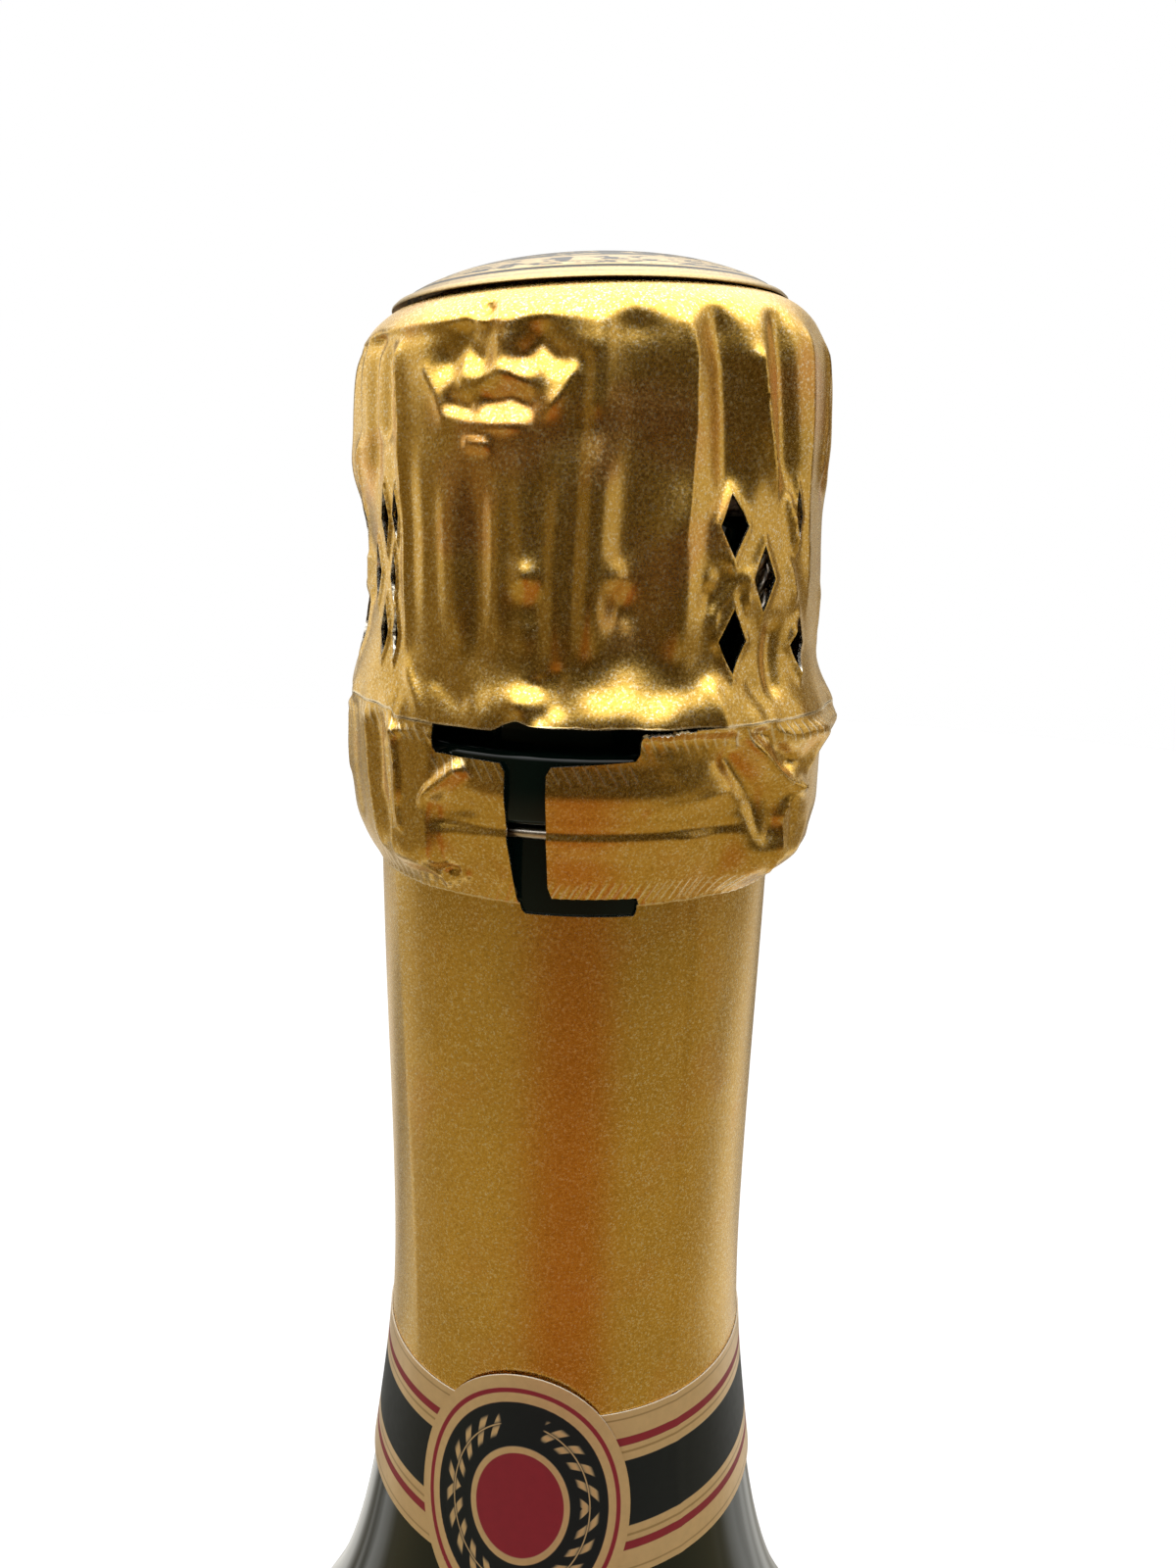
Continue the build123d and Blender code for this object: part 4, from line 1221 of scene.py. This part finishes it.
class BOTTLE_OT_cork(bpy.types.Operator):
    """Makes the pressed cork and the two discs of whole cork"""

    bl_idname = "bottle.cork"
    bl_label = "Cork"

    def execute(self, context):
        shaft = BORE_RADIUS - CORK_GAP
        head = CORK_HEAD_RADIUS
        pressed = surface("pressed_cork", {}, paint_cork)
        whole = surface("whole_cork", {}, paint_whole_cork)
        head_bottom = BOTTLE_TOP + CORK_GAP
        swell = spline([(13.1, head_bottom), (head, 302.6)], (0.93, 0.37), (0, 1))
        dome = spline([(11.1, 311.1), (0, 315.95)], (-0.7, 0.7), (-1, 0))
        side = [(head, z) for z in np.linspace(303.2, 309.6, 10)]
        rim = [(head, 310.2), (14.2, 310.7), (13.9, 311.0), (13.4, 311.1)]
        stem = [(shaft, z) for z in np.linspace(CORK_JOINT, head_bottom, 20)]
        outline = [(0, CORK_JOINT), *stem, *swell, *side, *rim, *dome]
        bm = lathe(outline, 128)
        draw = random.Random(3)
        for v in bm.verts:
            if v.co.xy.length > 0.001:
                v.co.xy *= 1 - draw.uniform(0, 0.003)
        place(bm, "cork_pressed", [pressed], "cork", "pressed_cork", ["cork_body"])
        for i, (end, edge) in enumerate((("upper", 0.04), ("lower", 0.6))):
            name, node = f"cork_end_{end}", f"cork_disc_{end}"
            high = CORK_JOINT - i * CORK_DISC_HEIGHT
            low = high - CORK_DISC_HEIGHT
            outline = [(0, low), (shaft - edge, low), (shaft, low + edge), (shaft, low + 2.7)]
            outline += [(shaft, high - 0.06), (shaft - 0.06, high), (0, high)]
            place(lathe(outline, 96), name, [whole], "cork", "whole_cork", [node])
        return {"FINISHED"}


class BOTTLE_OT_cage(bpy.types.Operator):
    """Makes the cap plate, the wire cage and its belt"""

    bl_idname = "bottle.cage"
    bl_label = "Cap plate and cage"

    def execute(self, context):
        sizes = context.scene.bottle_sizes
        plate = surface("cap_plate_lacquer", {"Metallic": 0.75, "Coat Weight": 0.6}, paint_plate)
        curl = corner(13.9, 310.6, 0.8, math.pi / 2, 0, 7)
        inner_curl = corner(13.9, 310.6, 0.55, 0, math.pi / 2, 6)
        dome = spline([(0, 316.3), (11.4, PLATE_TOP)], (1, 0), (0.7, -0.7), 16)
        under = spline([(11.15, 311.15), (0, 316.05)], (-0.7, 0.7), (-1, 0), 16)
        hem = [(14.7, 310.4), (14.6, 310.3), (14.5, 310.3), (14.45, 310.4)]
        outline = dome + curl + hem + inner_curl + under
        place(lathe(outline, 144), "cap_plate_disc", [plate], "cage", "plate_metal", ["cap_plate"])
        metal = surface("cage_wire_metal", {"Metallic": 1.0}, paint_wire)
        wire = sizes.wire_thickness / MM
        bm = bmesh.new()
        hoop(bm, TOP_RING_RADIUS, PLATE_TOP + 0.02 + wire / 2, wire)
        for leg in LEG_ANGLES:
            bends = (TOP_RING_RADIUS, LEG_HEIGHT), (LEG_RADIUS, LEG_HEIGHT), (LEG_RADIUS, FOOT_TOP)
            twist(bm, rounded([at(leg, 0, *bend) for bend in bends], 1.9), 0.64, 3.4)
            bends = (LEG_RADIUS, FOOT_TOP + 1), (LEG_RADIUS, FOOT_TOP), (FOOT_RADIUS, FOOT_TOP - 2.7)
            bends += (FOOT_RADIUS, RING_BOTTOM), (16.4, 277.35)
            eye = [(-1, *bend) for bend in bends] + [(1, *bend) for bend in reversed(bends)]
            draw_wire(bm, rounded([at(leg, *p) for p in eye], 0.8), wire, 10)
        bmesh.ops.recalc_face_normals(bm, faces=bm.faces)
        place(bm, "cage_legs", [metal], "cage", "cage_wire", ["cage_frame"], 50)
        belt = sizes.belt_thickness / MM
        bm = bmesh.new()
        hoop(bm, BELT_RADIUS, BELT_HEIGHT, belt)
        start, near, far = KEY_ANGLES
        stem = [
            at(start, 0, BELT_RADIUS, BELT_HEIGHT),
            at(start + 6, 0, KEY_RADIUS + 0.05, BELT_HEIGHT),
            at(near, -KEY_LOOP, KEY_RADIUS, KEY_HEIGHT),
        ]
        twist(bm, rounded(stem, 2.0), 0.56, 2.4)
        loop = []
        for t in np.linspace(0, math.tau, 29):
            angle = near if math.cos(t) > 0 else far
            side = -KEY_LOOP * math.cos(t)
            loop.append(at(angle, side, KEY_RADIUS, KEY_HEIGHT - KEY_LOOP * math.sin(t)))
        middle = at((near + far) / 2, 0, KEY_RADIUS + 0.02, KEY_HEIGHT - KEY_LOOP)
        loop.insert(8, middle)
        over = at((near + far) / 2, 0, KEY_RADIUS + 0.02, KEY_HEIGHT + KEY_LOOP)
        loop.insert(23, over)
        draw_wire(bm, loop, 0.95, 10)
        bmesh.ops.recalc_face_normals(bm, faces=bm.faces)
        place(bm, "cage_belt_key", [metal], "cage", "cage_wire", ["cage_belt"], 50)
        return {"FINISHED"}


class BOTTLE_OT_hood(bpy.types.Operator):
    """Makes the crumpled foil hood with its vents, and the domed disc on its top"""

    bl_idname = "bottle.hood"
    bl_label = "Foil hood and top disc"

    def execute(self, context):
        columns = context.scene.bottle_sizes.foil_columns
        gold = tuple(context.scene.bottle_colours.foil_gold)
        bm = flat_sheet((-180, 180), (UPPER_TEAR + TEAR_GAP, HOOD_ROLL[-1][0]), columns, 104, 20)
        for vent in VENTS:
            corners = diamond(*vent)
            shift = 360 if corners[2][0] > 180 and corners[0][0] > 180 else 0
            if corners[0][0] < 180 < corners[2][0]:
                continue
            cut(bm, [(a - shift, z) for a, z in corners])
        back = next(v for v in VENTS if v[0] == 180.0)
        half = diamond(*back)
        cut(bm, [half[0], half[1], (180.5, back[1]), half[3]])
        seam = half[2][0] - 360
        cut(bm, [(-180.5, back[1]), (-180, half[1][1]), (seam, back[1]), (-180, half[3][1])])
        roll(bm, hood_shape, FOIL_WALL, FOIL_RADIUS, HOOD_MIDDLE)
        skin = foil("hood_foil", gold, 1.0, (UPPER_TEAR + TEAR_GAP - HOOD_MIDDLE,))
        place(bm, "hood_crumpled", [skin, cut_edge()], "hood", "gold_foil", ["foil_hood"], 60)
        disc = surface("top_disc_foil", {"Metallic": 1.0}, paint_disc)
        top = [(r, disc_height(r)) for r in np.linspace(0, 12.6, 22)]
        top += [(r, disc_height(r) + lift) for r, lift in DISC_RIM]
        under = [(r, z - 0.17) for r, z in reversed(top[:-1])]
        bm = lathe(top + under, 176)
        turn = math.radians(CAMERA_TURN)
        for v in bm.verts:
            v.co.z += CAP_TILT * (v.co.x * math.cos(turn) + v.co.y * math.sin(turn))
        place(bm, "top_disc_dome", [disc], "hood", "gold_disc", ["foil_top_disc"])
        return {"FINISHED"}


class BOTTLE_OT_strip(bpy.types.Operator):
    """Makes the tear strip with the gap between its ends, and the pull tab"""

    bl_idname = "bottle.strip"
    bl_label = "Tear strip and pull tab"

    def execute(self, context):
        columns = context.scene.bottle_sizes.foil_columns
        gold = tuple(context.scene.bottle_colours.foil_gold)
        low, high = LOWER_TEAR + TEAR_GAP, UPPER_TEAR - TEAR_GAP
        skin = foil("strip_foil", gold, 0.6, (high - STRIP_MIDDLE, low - STRIP_MIDDLE), strip_marks)
        edge = cut_edge()
        bm = flat_sheet((-180, 180), (low, high), columns + 40, 66, 22)
        for corners in STRIP_GAPS:
            cut(bm, corners)
        roll(bm, strip_shape, FOIL_WALL, FOIL_RADIUS, STRIP_MIDDLE)
        place(bm, "tear_strip_foil", [skin, edge], "bottle", "gold_foil", ["tear_strip"], 60)
        bm = flat_sheet((TAB_CORNERS[0][0] - 0.2, TAB_FOLD), (273.8, 284.1), 62, 50)
        cut(bm, TAB_CORNERS, True)
        roll(bm, strip_shape, FOIL_WALL, FOIL_RADIUS, STRIP_MIDDLE)
        tab = place(bm, "tear_tab_foil", [skin, edge], None, "gold_foil", ["tear_tab"], 60)
        hinge = at(TAB_FOLD, 0, 18.0, 279) * MM
        free = at(TAB_FOLD - 7, 0, 17.8, 279) * MM
        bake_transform(tab)
        return {"FINISHED"}


class BOTTLE_OT_neck(bpy.types.Operator):
    """Makes the foil round the neck, the collar label and its oval medallion"""

    bl_idname = "bottle.neck"
    bl_label = "Neck foil and labels"

    def execute(self, context):
        gold = tuple(context.scene.bottle_colours.foil_gold)
        high = LOWER_TEAR - TEAR_GAP
        skin = foil("neck_foil_gold", gold, 0.4, (high - NECK_MIDDLE,))
        bm = flat_sheet((-180, 180), (NECK_FOIL_BOTTOM, high), 300, 60, 14)
        cut(bm, NECK_GAP)
        roll(bm, neck_shape, FOIL_WALL, NECK_RADIUS, NECK_MIDDLE)
        place(bm, "neck_foil_wrap", [skin, cut_edge()], "bottle", "gold_foil", ["neck_foil"], 60)
        paper = surface("collar_paper", PAPER_SHEEN, paint_collar)
        bm = flat_sheet((-180, 180), COLLAR_HEIGHTS, 240, 24)
        roll(bm, collar_shape, PAPER_WALL, COLLAR_RADIUS, sum(COLLAR_HEIGHTS) / 2)
        place(bm, "collar_band", [paper, paper_edge()], "bottle", "collar_paper", ["collar_label"])
        middle, centre, wide, tall = MEDALLION
        oval = surface("medallion_paper", PAPER_SHEEN, paint_medallion)
        span, levels = (middle - wide - 1, middle + wide + 1), (centre - tall - 1, centre + tall + 1)
        bm = flat_sheet(span, levels, 90, 64)
        turns = np.linspace(0, math.tau, 73)[:-1]
        cut(bm, [(middle + wide * math.cos(t), centre + tall * math.sin(t)) for t in turns], True)
        for v in bm.verts:
            v.co.x -= middle
        roll(
            bm, lambda a, z: medallion_shape(a + middle, z), PAPER_WALL, MEDALLION_RADIUS, centre
        )
        turn_round(bm, middle)
        materials = [oval, paper_edge()]
        place(bm, "collar_oval", materials, "bottle", "medallion_paper", ["collar_medallion"])
        return {"FINISHED"}


class BOTTLE_OT_body_labels(bpy.types.Operator):
    """Makes the front and the back label of the body"""

    bl_idname = "bottle.body_labels"
    bl_label = "Body labels"

    def execute(self, context):
        for name, node, turn, span, low, high in (
            ("front_label_paper", "front_label", 0, 112, 28, 106),
            ("back_label_paper", "back_label", 180, 84, 40, 92),
        ):
            half = math.radians(span / 2) * LABEL_RADIUS
            paper = surface(name, PAPER_SHEEN, label_paint(half, (high - low) / 2))
            bm = flat_sheet((-span / 2, span / 2), (low, high), span, 40)
            roll(bm, label_shape, PAPER_WALL, LABEL_RADIUS, (low + high) / 2)
            turn_round(bm, turn)
            place(bm, name, [paper, paper_edge()], "bottle", "body_label_paper", [node])
        return {"FINISHED"}


def world_light(colours):
    """White room for the camera, and for the foil a white room with a dim side behind the camera."""
    world = bpy.data.worlds.new("white_room")
    bpy.context.scene.world = world
    world.use_nodes = True
    world.cycles.sampling_method = "NONE"
    tree = world.node_tree
    tree.nodes.clear()
    way = Flow(tree, tree.nodes.new("ShaderNodeTexCoord").outputs["Generated"])
    x, y, z = way.parts()
    level = (x * x + y * y + 0.0001).maths("SQRT")
    ahead, across, turned = (
        (x * math.sin(math.radians(turn)) - y * math.cos(math.radians(turn))) / level
        for turn in (CAMERA_TURN, CAMERA_TURN + 90, DARK_TURN)
    )
    low = 1 - z.between(-0.5, -0.2)
    front = turned.between(-0.75, -0.35) * (1 - low) + ahead.between(-0.55, -0.05) * low
    below = 1 - z.between(0.3, 0.64)
    olive = across.maths("ABSOLUTE").between(0.12, 0.7)
    ground = olive.mix(tuple(colours.room_low), (0.43, 0.35, 0.19))
    side = turned.between(0.25, 0.9).mix((0.2, 0.15, 0.075), tuple(colours.room_dark))
    dim = low.mix(side, ground)
    walls = way.noise(3.1, 2, 0.5).between(0.42, 0.6).mix((0.24, 0.22, 0.18), (0.95, 0.93, 0.86))
    sky = z.between(0.3, 0.85).mix(walls, (3.0, 3.0, 3.0))
    mirrored = (front * below).mix(sky, dim)
    mirrored = (1 - z.between(-0.97, -0.9)).mix(mirrored, (0.72, 0.68, 0.58))
    seen, glossy = ray_kinds(tree)
    colour = glossy.mix((0.85, 0.85, 0.86), mirrored)
    colour = seen.maths("MINIMUM", 1).mix(colour, (1.0, 1.0, 1.0))
    shine = way.node("ShaderNodeBackground", None, {"Color": colour})
    out = tree.nodes.new("ShaderNodeOutputWorld")
    tree.links.new(shine.socket, out.inputs["Surface"])


def lamp(name, spot, aim, power):
    """A soft square lamp at a spot, turned to a point on the bottle's axis."""
    data = bpy.data.lights.new(name, "AREA")
    data.size = LAMP_SIZE
    data.energy = power
    made = bpy.data.objects.new(name, data)
    bpy.context.scene.collection.objects.link(made)
    made.location = spot
    made.rotation_euler = (Vector((0, 0, aim)) - made.location).to_track_quat("-Z", "Y").to_euler()


class BOTTLE_OT_stage(bpy.types.Operator):
    """Makes the floor, the lamps, the white room and the camera"""

    bl_idname = "bottle.stage"
    bl_label = "Stage"

    def execute(self, context):
        bm = bmesh.new()
        bmesh.ops.create_circle(bm, cap_ends=True, segments=96, radius=FLOOR_RADIUS)
        mesh = bpy.data.meshes.new("floor")
        bm.to_mesh(mesh)
        bm.free()
        floor = bpy.data.objects.new("floor", mesh)
        context.scene.collection.objects.link(floor)
        mesh.materials.append(surface("pale_floor", {"Emission Strength": 1.0}, paint_floor))
        floor.visible_glossy = False
        world_light(context.scene.bottle_colours)
        for row in LAMPS:
            lamp(*row)
        data = bpy.data.cameras.new("photo_camera")
        data.sensor_fit = "VERTICAL"
        data.sensor_height = FILM_HEIGHT
        data.lens = LENS
        data.clip_start = 0.005
        data.clip_end = 20
        camera = bpy.data.objects.new("photo_camera", data)
        context.scene.collection.objects.link(camera)
        pan = Matrix.Rotation(math.radians(CAMERA_TURN), 4, "Z")
        tilt = Matrix.Rotation(math.radians(90 - CAMERA_DOWN), 4, "X")
        level = Matrix.Rotation(math.radians(CAMERA_ROLL), 4, "Z")
        camera.matrix_world = Matrix.Translation(CAMERA_SPOT) @ pan @ tilt @ level
        context.scene.camera = camera
        context.scene.view_settings.view_transform = "Standard"
        return {"FINISHED"}


STEPS = (
    BOTTLE_OT_stage,
    BOTTLE_OT_glass,
    BOTTLE_OT_cork,
    BOTTLE_OT_cage,
    BOTTLE_OT_hood,
    BOTTLE_OT_strip,
    BOTTLE_OT_neck,
    BOTTLE_OT_body_labels,
)


class BOTTLE_PT_panel(bpy.types.Panel):
    """Lists the bottle's operators, sizes and colours"""

    bl_idname = "BOTTLE_PT_panel"
    bl_label = "Bottle"
    bl_space_type = "VIEW_3D"
    bl_region_type = "UI"
    bl_category = "Bottle"

    def draw(self, context):
        for group in (context.scene.bottle_sizes, context.scene.bottle_colours):
            for name in group.__annotations__:
                self.layout.prop(group, name)
        for operator in STEPS:
            self.layout.operator(operator.bl_idname)


CLASSES = (BottleSizes, BottleColours, *STEPS, BOTTLE_PT_panel)


def register():
    for cls in CLASSES:
        bpy.utils.register_class(cls)
    bpy.types.Scene.bottle_sizes = bpy.props.PointerProperty(type=BottleSizes)
    bpy.types.Scene.bottle_colours = bpy.props.PointerProperty(type=BottleColours)


def unregister():
    del bpy.types.Scene.bottle_colours
    del bpy.types.Scene.bottle_sizes
    for cls in reversed(CLASSES):
        bpy.utils.unregister_class(cls)


def main():
    register()
    for operator in STEPS:
        group, name = operator.bl_idname.split(".")
        getattr(getattr(bpy.ops, group), name)()


if __name__ == "__main__":
    main()
